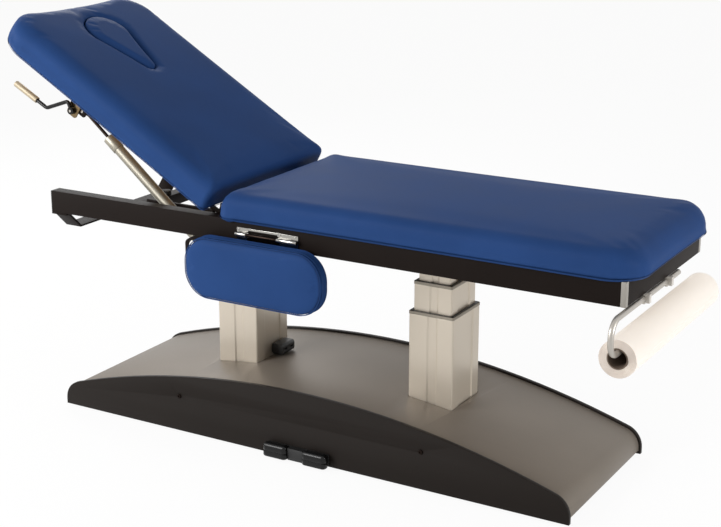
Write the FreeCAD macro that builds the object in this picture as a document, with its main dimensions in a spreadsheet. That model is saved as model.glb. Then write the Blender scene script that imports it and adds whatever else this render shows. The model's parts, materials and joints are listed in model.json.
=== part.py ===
import FreeCAD, Part
import math
import os
import re

# Electric treatment table: a two-column lifting base, a bed frame with a long seat section
# and a tilting head section, an arm pad on the near rail and a paper roll at the foot end.
# Millimetres, +Z up, foot end towards +X, near side towards -Y, floor at z = 0.

Vector = FreeCAD.Vector

SIZES = {
    # shared allowances
    "cut_overrun": 5,
    "soft_gap": 0.3,
    "running_gap": 0.05,
    # base shell
    "base_length": 1730,
    "base_width": 552,
    "floor_gap": 8,
    "panel_thickness": 12,
    "arch_rise": 208,
    "arch_radius": 2680,
    "panel_corner": 64,
    "panel_screw_spread": 832,
    "panel_screw_height": 113,
    "panel_screw_radius": 4,
    "panel_screw_head": 7,
    "panel_screw_cap": 3,
    "cover_drop": 6,
    "cover_thickness": 3,
    "cover_skirt": 11,
    "cover_column_gap": 1.5,
    # steel frame inside the base
    "frame_length": 1540,
    "frame_gauge": 300,
    "frame_tube_width": 60,
    "frame_tube_height": 40,
    "frame_tube_wall": 3,
    "frame_height": 30,
    "tie_width": 60,
    "tie_end_spread": 1440,
    "plate_thickness": 10,
    "plate_margin": 90,
    "post_width": 44,
    "post_thickness": 6,
    "post_height": 60,
    "foot_radius": 25,
    "foot_pad_height": 12,
    "foot_stud_radius": 6,
    "control_length": 150,
    "control_width": 340,
    "control_height": 55,
    "inlet_length": 48,
    "inlet_height": 28,
    "inlet_depth": 26,
    "inlet_rim": 4,
    "inlet_rim_depth": 3,
    "inlet_offset": 560,
    "inlet_level": 52,
    # lifting columns
    "head_column": 326,
    "foot_column": 344,
    "column_length": 142,
    "column_width": 173,
    "column_wall": 6,
    "column_step": 10,
    "column_corner": 5,
    "recess_depth": 3,
    "recess_slope": 5,
    "collar_height": 9,
    "collar_lip": 1,
    "collar_gap": 0.5,
    "outer_top": 449,
    "middle_top": 537,
    "middle_tube_length": 330,
    "inner_tube_length": 330,
    "head_plate_thickness": 8,
    "actuator_radius": 23,
    "actuator_length": 360,
    "push_rod_radius": 14,
    "push_rod_length": 402,
    "motor_radius": 32,
    "motor_length": 90,
    "motor_gap": 6,
    # charging outlet beside the head column
    "outlet_depth": 42,
    "outlet_width": 66,
    "outlet_height": 34,
    "outlet_corner": 9,
    "outlet_offset": 27,
    "outlet_level": 204,
    "outlet_slot_width": 14,
    "outlet_slot_height": 6,
    "outlet_slot_depth": 8,
    # foot pedals
    "pedal_width": 82,
    "pedal_pitch": 134,
    "pedal_offset": 15,
    "pedal_depth": 31,
    "pedal_height": 42,
    "pedal_corner": 11,
    "pedal_level": 11,
    "pedal_shaft_radius": 4,
    "pedal_shaft_rise": 28,
    "pedal_shaft_reach": 13,
    "pedal_shaft_length": 160,
    "pedal_bridge_depth": 24,
    "pedal_bridge_height": 36,
    "pedal_plate": 5,
    "pedal_relief": 6,
    # bed frame
    "rail_bottom": 645,
    "cushion_width": 632,
    "cushion_overhang": 25,
    "bed_width": "=cushion_width - 2 * cushion_overhang",
    "rail_height": 67,
    "rail_thickness": 40,
    "rail_wall": 3,
    "rail_head_end": 869,
    "rail_foot_end": 997,
    "corner_post": 16,
    "corner_post_round": 3,
    "end_cap": 4,
    "bearer_width": 60,
    "bearer_height": 40,
    "cross_position": 565,
    "cross_width": 40,
    "cross_height": 36,
    "cross_drop": 14,
    "cross_strut_gap": 10,
    "brace_width": 12,
    "rest_pad_radius": 16,
    "rest_pad_spread": 220,
    "rest_pad_clear": 0.5,
    "strap_width": 58,
    "strap_thickness": 6,
    "strap_flange": 10,
    "strap_drop": 56,
    "strap_inset": 51,
    "strap_position": 840,
    # head hinge
    "hinge_offset": 254,
    "hinge_height": 735,
    "head_tilt": 30.5,
    "hinge_pin_radius": 5,
    "hinge_pin_head": 3,
    "ear_half_width": 9,
    "ear_thickness": 6,
    "ear_foot_width": 32,
    "ear_foot_depth": 56,
    "arm_depth": 14,
    "arm_length": 250,
    # cushions
    "cushion_thickness": 80,
    "head_thickness": 88,
    "cushion_edge": 45,
    "cushion_crown": 7,
    "cushion_tuck": 7,
    "cushion_draw": 3,
    "cushion_small_corner": 48,
    "seat_head_end": 243,
    "seat_foot_end": 1034,
    "seat_corner": 105,
    "head_start": 20,
    "head_reach": 908,
    "head_corner": 100,
    "head_dip": 9,
    "board_inset": 24,
    "board_thickness": 18,
    # face hole and its plug
    "plug_head_end": 811,
    "plug_hinge_end": 531,
    "plug_large_radius": 88,
    "plug_small_radius": 24,
    "plug_gap": 2,
    "plug_ledge": 12,
    "plug_edge": 6,
    "plug_rise": 4,
    # gas strut and its brackets
    "strut_inset": 79,
    "strut_line": "=bed_width / 2 - strut_inset",
    "strut_head_reach": 568,
    "strut_head_drop": 79,
    "strut_foot_offset": 361,
    "strut_foot_height": 598,
    "strut_length": 437,
    "strut_radius": 16.5,
    "strut_collar_radius": 18.5,
    "strut_collar_length": 48,
    "strut_rod_radius": 5,
    "strut_rod_hidden": 170,
    "strut_eye_radius": 10,
    "strut_eye_width": 14,
    "strut_neck": 18,
    "strut_bore_floor": 60,
    "strut_bore_gap": 0.3,
    "strut_pin_radius": 5,
    "strut_pin_head": 3,
    "cheek_thickness": 4,
    "cheek_gap": 1.5,
    "cheek_half_width": 16,
    "foot_cheek_gap": 4,
    "foot_cheek_hole": 23,
    "foot_cheek_margin": 12,
    "foot_cheek_shift": 8,
    # release lever
    "lever_inset": 49,
    "lever_line": "=bed_width / 2 - lever_inset",
    "lever_rod_radius": 6,
    "lever_pivot_reach": 593,
    "lever_pivot_drop": 91,
    "lever_pin_radius": 4,
    "lever_hub_radius": 11,
    "lever_shoulder_reach": 617,
    "lever_shoulder_drop": 73,
    "lever_elbow_reach": 676,
    "lever_elbow_drop": 141,
    "lever_bend": 16,
    "grip_start_reach": 717,
    "grip_end_reach": 802,
    "grip_drop": 145,
    "grip_radius": 10,
    "lever_plate_gap": 1.5,
    "lever_plate_half_width": 20,
    # arm pad
    "pad_length": 460,
    "pad_height": 184,
    "pad_thickness": 47,
    "pad_edge": 16,
    "pad_crown": 3,
    "pad_drop": 51,
    "pad_centre": 99,
    "pad_board": 12,
    "pad_board_inset": 22,
    "arm_axis_drop": 36,
    "arm_axis_stand": 10.5,
    "arm_plate": 4,
    "arm_plate_length": 206,
    "arm_plate_height": 40,
    "arm_plate_centre": 71,
    "arm_lug_length": 36,
    "arm_lug_long": 66,
    "arm_knuckle_radius": 6.5,
    "arm_pin_radius": 3,
    "arm_leaf_drop": 128,
    "arm_leaf_clear": 0.2,
    # paper roll and its rod
    "roll_rod_radius": 8,
    "roll_rod_offset": 994,
    "roll_rod_far_end": 114,
    "roll_rod_turn": 378,
    "roll_rod_drop": 95,
    "roll_rod_bend": 42,
    "roll_rod_inner_end": 255,
    "roll_radius": 51,
    "roll_length": 662,
    "roll_near_end": 326,
    "core_radius": 25,
    "core_wall": 3,
    "clip_depth": 34,
    "clip_width": 14,
    "clip_height": 24,
    "clip_cover": 5,
    "clip_spread": 172,
    "clip_centre": 64,
    "clip_screw_radius": 4,
    "clip_screw_drop": 5,
}

# Shares along a tube's side where its shallow recess begins and ends.
LONG_RECESS_SHARES = (0.41, 0.65)
CROSS_RECESS_SHARES = (0.25, 0.76)
# Cushion edge: shares of the thickness and of the edge radius, from the tuck to the crown.
BULGE_HEIGHT_SHARE = 0.22
CROWN_INSET_SHARES = (0.34, 0.78)
CROWN_HEIGHT_SHARES = (0.7, 1.0)
LEAST_CORNER_SHARE = 0.2

doc = FreeCAD.newDocument("treatment_table")
sheet = doc.addObject("Spreadsheet::Sheet", "sizes")
for row, (alias, number) in enumerate(SIZES.items(), 1):
    sheet.set(f"A{row}", alias)
    sheet.set(f"B{row}", str(number))
    sheet.setAlias(f"B{row}", alias)
doc.recompute()


class Sizes:
    """The sheet's values, read by name."""

    def __getattr__(self, alias):
        return float(sheet.get(alias))


s = Sizes()
nodes = []


def formula(text):
    """An expression written in the sheet's aliases, with the sheet's name put before each."""
    def named(match):
        word = match.group()
        return "sizes." + word if word in SIZES else word

    return re.sub(r"[a-z][a-z_]*", named, text)


def bind(thing, **expressions):
    for name, text in expressions.items():
        thing.setExpression(name.replace("__", "."), formula(text))


def move(thing, place):
    """Binds the three coordinates of a placement to expressions."""
    for axis, text in zip("xyz", place):
        thing.setExpression("Placement.Base." + axis, formula(text))


def node(thing, label):
    """Marks a finished object as a sub-part that gets a file of its own."""
    thing.Label = label
    nodes.append(thing)
    return thing


def box(lengths, corner):
    block = doc.addObject("Part::Box", "block")
    bind(block, Length=lengths[0], Width=lengths[1], Height=lengths[2])
    move(block, corner)
    return block


TURNS = {"x": FreeCAD.Rotation(Vector(0, 1, 0), 90), "y": FreeCAD.Rotation(Vector(1, 0, 0), -90),
         "z": FreeCAD.Rotation()}


def cylinder(radius, length, base, axis):
    """A cylinder that starts at base and runs along the positive axis."""
    bar = doc.addObject("Part::Cylinder", "bar")
    bar.Placement = FreeCAD.Placement(Vector(), TURNS[axis])
    bind(bar, Radius=radius, Height=length)
    move(bar, base)
    return bar


def fuse(*pieces):
    union = doc.addObject("Part::MultiFuse", "union")
    union.Shapes = list(pieces)
    union.Refine = True
    return union


def cut(base, *tools):
    difference = doc.addObject("Part::Cut", "difference")
    difference.Base = base
    difference.Tool = tools[0] if len(tools) == 1 else fuse(*tools)
    return difference


def group(*pieces):
    """Like pieces that share one node, each a solid of its own."""
    together = doc.addObject("Part::Compound", "group")
    together.Links = list(pieces)
    return together


def feature(shape):
    solid = doc.addObject("Part::Feature", "shaped")
    solid.Shape = shape
    return solid


def on_head(thing):
    """Places a piece that is drawn flat, with the hinge at its origin, on the tilted head section."""
    thing.Placement = FreeCAD.Placement(Vector(), FreeCAD.Rotation(Vector(0, 1, 0), s.head_tilt))
    thing.setExpression("Placement.Rotation.Angle", formula("head_tilt"))
    move(thing, ("-hinge_offset", "0", "hinge_height"))
    return thing


def rounded_loop(corners):
    """Lines and tangent arcs through corners given as (x, y, radius)."""
    arcs, joints = [], []
    for i, (x, y, radius) in enumerate(corners):
        point = Vector(x, y, 0)
        before, after = corners[i - 1], corners[(i + 1) % len(corners)]
        back = (Vector(before[0], before[1], 0) - point).normalize()
        ahead = (Vector(after[0], after[1], 0) - point).normalize()
        if radius == 0:
            joints.append((point, point))
            arcs.append(None)
            continue
        half = back.getAngle(ahead) / 2
        reach = radius / math.tan(half)
        centre = point + (back + ahead).normalize() * (radius / math.sin(half))
        middle = centre + (point - centre).normalize() * radius
        joints.append((point + back * reach, point + ahead * reach))
        arcs.append(Part.Arc(joints[-1][0], middle, joints[-1][1]))
    loop = []
    for i, arc in enumerate(arcs):
        if arc:
            loop.append(arc)
        start, end = joints[i][1], joints[(i + 1) % len(joints)][0]
        if start.distanceToPoint(end) > Part.Precision.confusion():
            loop.append(Part.LineSegment(start, end))
    return loop


def rectangle(length, width, radius):
    a, b = length / 2, width / 2
    return rounded_loop([(-a, -b, radius), (a, -b, radius), (a, b, radius), (-a, b, radius)])


def padded(plane_role, loops, length, centre):
    """A body whose sketch on one of its origin planes is padded equally to both sides."""
    body = doc.addObject("PartDesign::Body", "body")
    plane = next(item for item in body.Origin.OriginFeatures if item.Role == plane_role)
    sketch = body.newObject("Sketcher::SketchObject", "outline")
    sketch.AttachmentSupport = (plane, [""])
    sketch.MapMode = "FlatFace"
    for loop in loops:
        sketch.addGeometry(loop, False)
    pad = body.newObject("PartDesign::Pad", "pad")
    pad.Profile = sketch
    pad.SideType = "Symmetric"
    bind(pad, Length=length)
    move(body, centre)
    return body


def wire(loop, height=0):
    made = Part.Wire(Part.__sortEdges__([curve.toShape() for curve in loop]))
    made.translate(Vector(0, 0, height))
    return made


def prism(loop, low, high):
    return Part.Face(wire(loop, low)).extrude(Vector(0, 0, high - low))


def bent_bar(points, radius):
    """A round bar through points given as (place, bend radius), straight between its bends."""
    runs, last = [], points[0][0]
    for i in range(1, len(points) - 1):
        point, bend = points[i]
        back = (points[i - 1][0] - point).normalize()
        ahead = (points[i + 1][0] - point).normalize()
        half = back.getAngle(ahead) / 2
        reach = bend / math.tan(half)
        centre = point + (back + ahead).normalize() * (bend / math.sin(half))
        middle = centre + (point - centre).normalize() * bend
        runs.append(Part.LineSegment(last, point + back * reach).toShape())
        runs.append(Part.Arc(point + back * reach, middle, point + ahead * reach).toShape())
        last = point + ahead * reach
    runs.append(Part.LineSegment(last, points[-1][0]).toShape())
    section = Part.Wire([Part.Circle(points[0][0], points[1][0] - points[0][0], radius).toShape()])
    return Part.Wire(runs).makePipeShell([section], True, True)


# Base: side panels, arched cover, steel frame and what it holds

def arch_path(offset, bottom):
    """The base's side outline moved inwards by offset, from its right end over the top to the left."""
    half = s.base_length / 2
    centre = Vector(0, s.arch_rise - s.arch_radius, 0)
    run = half - s.panel_corner
    turn = Vector(run, centre.y + math.sqrt((s.arch_radius - s.panel_corner) ** 2 - run ** 2), 0)
    outward = (turn - centre).normalize()
    corner = s.panel_corner - offset
    join = centre + outward * (s.arch_radius - offset)
    middle = turn + (outward + Vector(1, 0, 0)).normalize() * corner
    side = Vector(half - offset, turn.y, 0)
    foot = Vector(half - offset, bottom, 0)
    crest = Vector(0, s.arch_rise - offset, 0)

    def across(p):
        return Vector(-p.x, p.y, 0)

    return [Part.LineSegment(foot, side), Part.Arc(side, middle, join),
            Part.Arc(join, crest, across(join)), Part.Arc(across(join), across(middle), across(side)),
            Part.LineSegment(across(side), across(foot))]


def ends(path):
    return path[0].StartPoint, path[-1].EndPoint


panel_path = arch_path(0, 0)
panel_loop = panel_path + [Part.LineSegment(*reversed(ends(panel_path)))]
outer_path = arch_path(s.cover_drop, s.cover_skirt)
inner_path = arch_path(s.cover_drop + s.cover_thickness, s.cover_skirt)
cover_loop = outer_path + inner_path
cover_loop += [Part.LineSegment(a, b) for a, b in zip(ends(outer_path), ends(inner_path))]

PANEL_FACE = "(base_width / 2)"
PANEL_INNER = "(base_width / 2 - panel_thickness)"
FRAME_TOP = "(frame_height + frame_tube_height)"
PLATE_TOP = "(frame_height + frame_tube_height + plate_thickness)"
COLUMNS = ("-head_column", "foot_column")
SIDES = {"near": "-1", "far": "1"}
ENDS = ("-1", "1")


def screw_bar(side, end, radius, length, start):
    """A bar along Y at one of the panel screws, starting at start from the mid plane."""
    place = (f"{end} * panel_screw_spread / 2", start, "floor_gap + panel_screw_height")
    return cylinder(radius, length, place, "y")


for name, side in SIDES.items():
    blank = padded("XZ_Plane", [panel_loop], "panel_thickness",
                   ("0", f"{side} * (base_width - panel_thickness) / 2", "floor_gap"))
    low = f"{side} * (base_width - panel_thickness) / 2 - panel_thickness / 2 - cut_overrun"
    through = "panel_thickness + 2 * cut_overrun"
    tools = [screw_bar(side, end, "panel_screw_radius", through, low) for end in ENDS]
    node(cut(blank, *tools), f"side_panel_{name}")

screws = []
for side in SIDES.values():
    for end in ENDS:
        reach = "panel_thickness + post_thickness"
        shank_start = f"{side} * (base_width - panel_thickness - post_thickness) / 2 - ({reach}) / 2"
        cap_start = f"{side} * (base_width + panel_screw_cap) / 2 - panel_screw_cap / 2"
        screws.append(fuse(screw_bar(side, end, "panel_screw_radius", reach, shank_start),
                           screw_bar(side, end, "panel_screw_head", "panel_screw_cap", cap_start)))
node(group(*screws), "panel_screws")

cover_sheet = padded("XZ_Plane", [cover_loop], "base_width - 2 * panel_thickness", ("0", "0", "floor_gap"))
windows = [box(("column_length + 2 * cover_column_gap", "column_width + 2 * cover_column_gap", "arch_rise"),
               (f"{place} - column_length / 2 - cover_column_gap", "-column_width / 2 - cover_column_gap",
                "floor_gap + arch_rise / 2")) for place in COLUMNS]
node(cut(cover_sheet, *windows), "arched_cover")

beams = []
for side in SIDES.values():
    skin = box(("frame_length", "frame_tube_width", "frame_tube_height"),
               ("-frame_length / 2", f"{side} * frame_gauge / 2 - frame_tube_width / 2", "frame_height"))
    hollow = box(("frame_length + 2 * cut_overrun", "frame_tube_width - 2 * frame_tube_wall",
                  "frame_tube_height - 2 * frame_tube_wall"),
                 ("-frame_length / 2 - cut_overrun",
                  f"{side} * frame_gauge / 2 - frame_tube_width / 2 + frame_tube_wall",
                  "frame_height + frame_tube_wall"))
    beams.append(cut(skin, hollow))
plate_width = "(frame_gauge + frame_tube_width)"
stub_width = f"({PANEL_INNER} - {plate_width} / 2)"
for end in ENDS:
    beams.append(box(("tie_width", "base_width - 2 * panel_thickness", "plate_thickness"),
                     (f"{end} * tie_end_spread / 2 - tie_width / 2", f"-{PANEL_INNER}", FRAME_TOP)))
    for start in (f"-{PANEL_INNER}", f"{plate_width} / 2"):
        beams.append(box(("tie_width", stub_width, "plate_thickness"),
                         (f"{end} * panel_screw_spread / 2 - tie_width / 2", start, FRAME_TOP)))
for place in COLUMNS:
    beams.append(box(("column_length + 2 * plate_margin", plate_width, "plate_thickness"),
                     (f"{place} - column_length / 2 - plate_margin", f"-{plate_width} / 2", FRAME_TOP)))
node(group(*beams), "base_frame")

posts, feet = [], []
for side in SIDES.values():
    for end in ENDS:
        post_start = f"{side} * ({PANEL_INNER} - post_thickness / 2) - post_thickness / 2"
        post = box(("post_width", "post_thickness", "post_height"),
                   (f"{end} * panel_screw_spread / 2 - post_width / 2", post_start, PLATE_TOP))
        hole = screw_bar(side, end, "panel_screw_radius", "post_thickness + 2 * cut_overrun",
                         f"{post_start} - cut_overrun")
        posts.append(cut(post, hole))
        foot_place = (f"{end} * tie_end_spread / 2", f"{side} * frame_gauge / 2", "0")
        stud_place = (foot_place[0], foot_place[1], "foot_pad_height")
        feet.append(fuse(cylinder("foot_radius", "foot_pad_height", foot_place, "z"),
                         cylinder("foot_stud_radius", "frame_height - foot_pad_height", stud_place, "z")))
node(group(*posts), "panel_posts")
node(group(*feet), "levelling_feet")

node(box(("control_length", "control_width", "control_height"),
         ("-control_length / 2", "-control_width / 2", FRAME_TOP)), "control_box")

inlet_body = box(("inlet_length", "inlet_depth", "inlet_height"),
                 ("-inlet_offset - inlet_length / 2", PANEL_FACE, "inlet_level - inlet_height / 2"))
inlet_rim = box(("inlet_length + 2 * inlet_rim", "inlet_rim_depth", "inlet_height + 2 * inlet_rim"),
                ("-inlet_offset - inlet_length / 2 - inlet_rim", PANEL_FACE,
                 "inlet_level - inlet_height / 2 - inlet_rim"))
inlet_well = box(("inlet_length - 2 * inlet_rim", "inlet_depth / 2 + cut_overrun",
                  "inlet_height - 2 * inlet_rim"),
                 ("-inlet_offset - inlet_length / 2 + inlet_rim", f"{PANEL_FACE} + inlet_depth / 2",
                  "inlet_level - inlet_height / 2 + inlet_rim"))
node(cut(fuse(inlet_body, inlet_rim), inlet_well), "mains_inlet")


# Lifting columns: three telescoping tubes each, with collars and an actuator inside

def tube_loop(length, width):
    """A tube's outline with a shallow slant-walled recess in the middle of each side."""
    a, b, deep = length / 2, width / 2, s.recess_depth
    x0, x1 = (-a + length * share for share in LONG_RECESS_SHARES)
    y0, y1 = (-b + width * share for share in CROSS_RECESS_SHARES)
    r, lean = s.column_corner, s.recess_slope
    return rounded_loop([
        (-a, -b, r), (x0, -b, 0), (x0 + lean, deep - b, 0), (x1 - lean, deep - b, 0), (x1, -b, 0),
        (a, -b, r), (a, y0, 0), (a - deep, y0 + lean, 0), (a - deep, y1 - lean, 0), (a, y1, 0),
        (a, b, r), (x1, b, 0), (x1 - lean, b - deep, 0), (x0 + lean, b - deep, 0), (x0, b, 0),
        (-a, b, r), (-a, y1, 0), (deep - a, y1 - lean, 0), (deep - a, y0 + lean, 0), (-a, y0, 0)])


def stage_size(stage):
    """Length and width of a tube, counted from the outermost one."""
    return s.column_length - 2 * stage * s.column_step, s.column_width - 2 * stage * s.column_step


def tube(stage, bottom, top, place):
    length, width = stage_size(stage)
    bore = rectangle(length - 2 * s.column_wall, width - 2 * s.column_wall, s.column_corner)
    return padded("XY_Plane", [tube_loop(length, width), bore], f"{top} - {bottom}",
                  (place, "0", f"({top} + {bottom}) / 2"))


def collar(stage, bottom, place):
    length, width = stage_size(stage)
    passing = [size + 2 * s.collar_gap for size in stage_size(stage + 1)]
    rim = rectangle(length + 2 * s.collar_lip, width + 2 * s.collar_lip, s.column_corner)
    return padded("XY_Plane", [rim, rectangle(*passing, s.column_corner)], "collar_height",
                  (place, "0", f"{bottom} + collar_height / 2"))


INNER_TOP = "(rail_bottom - head_plate_thickness)"
STAGES = {"outer": (PLATE_TOP, "outer_top"), "middle": ("(middle_top - middle_tube_length)", "middle_top"),
          "inner": (f"({INNER_TOP} - inner_tube_length)", INNER_TOP)}
for stage, (name, (bottom, top)) in enumerate(STAGES.items()):
    node(group(*[tube(stage, bottom, top, place) for place in COLUMNS]), f"columns_{name}")
node(group(*[collar(0, "outer_top", place) for place in COLUMNS]), "outer_collars")
node(group(*[collar(1, "middle_top", place) for place in COLUMNS]), "middle_collars")

top_length, top_width = "(column_length - 4 * column_step)", "(column_width - 4 * column_step)"
node(group(*[box((top_length, top_width, "head_plate_thickness"),
                 (f"{place} - {top_length} / 2", f"-{top_width} / 2", INNER_TOP))
             for place in COLUMNS]), "column_head_plates")

actuators, push_rods, motors = [], [], []
for place in COLUMNS:
    barrel = cylinder("actuator_radius", "actuator_length", (place, "0", PLATE_TOP), "z")
    bore = cylinder("push_rod_radius + soft_gap", "actuator_length + 2 * cut_overrun",
                    (place, "0", f"{PLATE_TOP} - cut_overrun"), "z")
    actuators.append(cut(barrel, bore))
    push_rods.append(cylinder("push_rod_radius", "push_rod_length",
                              (place, "0", f"{INNER_TOP} - push_rod_length"), "z"))
    motors.append(cylinder("motor_radius", "motor_length",
                           (f"{place} + column_length / 2 + motor_gap + motor_radius", "-motor_length / 2",
                            f"{PLATE_TOP} + motor_radius"), "y"))
node(group(*actuators), "actuator_tubes")
node(group(*push_rods), "push_rods")
motor_feet = [box(("motor_radius", "motor_length", "motor_radius / 2"),
                  (f"{place} + column_length / 2 + motor_gap + motor_radius / 2", "-motor_length / 2",
                   PLATE_TOP)) for place in COLUMNS]
node(group(*[fuse(motor, base) for motor, base in zip(motors, motor_feet)]), "lift_motors")

outlet_loop = rectangle(s.outlet_depth, s.outlet_height, s.outlet_corner)
outlet_body = padded("XZ_Plane", [outlet_loop], "outlet_width",
                     ("-head_column + (column_length + outlet_depth) / 2", "outlet_offset",
                      "outlet_level + outlet_height / 2"))
outlet_slots = [box(("outlet_slot_depth + cut_overrun", "outlet_slot_width", "outlet_slot_height"),
                    ("-head_column + column_length / 2 + outlet_depth - outlet_slot_depth",
                     f"outlet_offset + {end} * outlet_width / 4 - outlet_slot_width / 2",
                     "outlet_level + outlet_height / 2 - outlet_slot_height / 2")) for end in ENDS]
node(cut(outlet_body, *outlet_slots), "charging_outlet")


# Foot pedals on the near panel

SHAFT_Y = f"(-{PANEL_FACE} - pedal_shaft_reach)"
SHAFT_Z = "(pedal_level + pedal_shaft_rise)"
plate_span = "(pedal_pitch + pedal_width - 2 * pedal_plate)"
back_plate = box((plate_span, "pedal_plate", "pedal_bridge_height"),
                 (f"pedal_offset - {plate_span} / 2", f"-{PANEL_FACE} - pedal_plate", "pedal_level"))
bridge_width = "(pedal_pitch - pedal_width - 2 * soft_gap)"
bridge = box((bridge_width, "pedal_bridge_depth", "pedal_bridge_height"),
             (f"pedal_offset - {bridge_width} / 2", f"-{PANEL_FACE} - pedal_bridge_depth", "pedal_level"))
shaft_bar = ("pedal_shaft_radius", "pedal_shaft_length",
             ("pedal_offset - pedal_shaft_length / 2", SHAFT_Y, SHAFT_Z), "x")
node(cut(fuse(back_plate, bridge), cylinder(*shaft_bar)), "pedal_bracket")
node(cylinder(*shaft_bar), "pedal_shaft")
pedal_back = -s.pedal_plate - s.soft_gap
pedal_front = pedal_back - s.pedal_depth
pedal_loop = rounded_loop([(pedal_back, s.pedal_shaft_rise, 0), (pedal_back - s.pedal_relief, 0, 0),
                           (pedal_front, 0, s.pedal_corner / 2),
                           (pedal_front, s.pedal_height - s.pedal_corner / 2, s.pedal_corner),
                           (pedal_back - s.pedal_depth / 2, s.pedal_height, s.pedal_corner),
                           (pedal_back, s.pedal_height, s.pedal_corner / 2)])
for name, end in (("up", "-1"), ("down", "1")):
    tread = padded("YZ_Plane", [pedal_loop], "pedal_width",
                   (f"pedal_offset + {end} * pedal_pitch / 2", f"-{PANEL_FACE}", "pedal_level"))
    bore = cylinder("pedal_shaft_radius + running_gap", "pedal_shaft_length + 2 * soft_gap",
                    ("pedal_offset - pedal_shaft_length / 2 - soft_gap", SHAFT_Y, SHAFT_Z), "x")
    node(cut(tread, bore), f"pedal_{name}")


# Bed frame

RAIL_TOP = "(rail_bottom + rail_height)"
RAIL_INNER = "(bed_width / 2 - rail_thickness)"
RAIL_END = "(rail_foot_end - corner_post)"
rail_length = f"({RAIL_END} + rail_head_end - end_cap)"
posts, caps = [], []
for name, side in SIDES.items():
    skin = box((rail_length, "rail_thickness", "rail_height"),
               ("end_cap - rail_head_end", f"{side} * (bed_width - rail_thickness) / 2 - rail_thickness / 2",
                "rail_bottom"))
    hollow = box((f"{rail_length} + 2 * cut_overrun", "rail_thickness - 2 * rail_wall",
                  "rail_height - 2 * rail_wall"),
                 ("end_cap - rail_head_end - cut_overrun",
                  f"{side} * (bed_width - rail_thickness) / 2 - rail_thickness / 2 + rail_wall",
                  "rail_bottom + rail_wall"))
    node(cut(skin, hollow), f"rail_{name}")
    posts.append(padded("XY_Plane", [rectangle(s.corner_post, s.corner_post, s.corner_post_round)],
                        "rail_height",
                        ("rail_foot_end - corner_post / 2", f"{side} * (bed_width - corner_post) / 2",
                         "rail_bottom + rail_height / 2")))
    caps.append(box(("end_cap", "rail_thickness", "rail_height"),
                    ("-rail_head_end", f"{side} * (bed_width - rail_thickness) / 2 - rail_thickness / 2",
                     "rail_bottom")))
node(group(*posts), "corner_posts")
node(group(*caps), "rail_end_caps")

foot_skin = box(("rail_thickness", "bed_width - 2 * corner_post", "rail_height"),
                ("rail_foot_end - rail_thickness", "corner_post - bed_width / 2", "rail_bottom"))
corner_side = "(rail_thickness - corner_post)"
foot_corners = [box((corner_side, corner_side, "rail_height"),
                    ("rail_foot_end - rail_thickness",
                     f"{side} * (bed_width - rail_thickness - corner_post) / 2 - {corner_side} / 2",
                     "rail_bottom")) for side in SIDES.values()]
foot_hollow = box(("rail_thickness - 2 * rail_wall", "bed_width", "rail_height - 2 * rail_wall"),
                  ("rail_foot_end - rail_thickness + rail_wall", "-bed_width / 2",
                   "rail_bottom + rail_wall"))
node(cut(foot_skin, *foot_corners, foot_hollow), "foot_rail")

HEAD_BEARER = f"(-head_column + {top_length} / 2 - bearer_width)"
bearer_starts = (HEAD_BEARER, "foot_column - bearer_width / 2")
node(group(*[box(("bearer_width", f"2 * {RAIL_INNER}", "bearer_height"),
                 (start, f"-{RAIL_INNER}", "rail_bottom")) for start in bearer_starts]), "column_bearers")
# The cross member stops short of the gas strut, and a brace carries that end from the head bearer.
cross_top = f"({RAIL_TOP} - cross_drop)"
cross_near = "(strut_line - strut_collar_radius - cross_strut_gap)"
cross_bar = box(("cross_width", f"{RAIL_INNER} + {cross_near}", "cross_height"),
                ("-cross_position - cross_width / 2", f"-{cross_near}", f"{cross_top} - cross_height"))
brace = box((f"{HEAD_BEARER} + cross_position", "brace_width", "cross_height"),
            ("-cross_position", f"-{cross_near}", f"{cross_top} - cross_height"))
node(fuse(cross_bar, brace), "cross_member")
node(group(*[cylinder("rest_pad_radius", "cross_drop",
                      ("-cross_position", f"{end} * rest_pad_spread / 2", cross_top), "z") for end in ENDS]),
     "rest_pads")

strap_edge = s.bed_width / 2 - s.strap_flange
strap_low = strap_edge - s.strap_inset
flange = s.strap_flange
slope = math.hypot(s.strap_inset, s.strap_drop)
lean = s.strap_thickness * (slope - s.strap_inset) / s.strap_drop
strap_half = [(strap_edge + flange, 0), (strap_edge + flange, -s.strap_thickness),
              (strap_edge - lean, -s.strap_thickness), (strap_low - lean, -s.strap_drop)]
strap_turn = strap_low - lean - s.strap_inset * s.strap_thickness / slope
strap_inner = [(strap_turn, s.strap_thickness - s.strap_drop), (strap_edge - s.strap_thickness, 0)]
strap_corners = strap_half + [(-y, z) for y, z in reversed(strap_half)]
strap_corners += [(-y, z) for y, z in strap_inner[::-1]] + strap_inner
strap = padded("YZ_Plane", [rounded_loop([(y, z, 0) for y, z in strap_corners])], "strap_width",
               ("-strap_position", "0", "rail_bottom"))
node(strap, "head_cross_strap")


# Head hinge: ears on the rails, pins, and arms under the head board

def side_plate(loops, thickness, low_y):
    """A plate cut to an outline drawn in X and Z, whose lower Y face is at low_y."""
    return padded("XZ_Plane", loops, thickness, ("0", f"{low_y} + ({thickness}) / 2", "0"))


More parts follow.
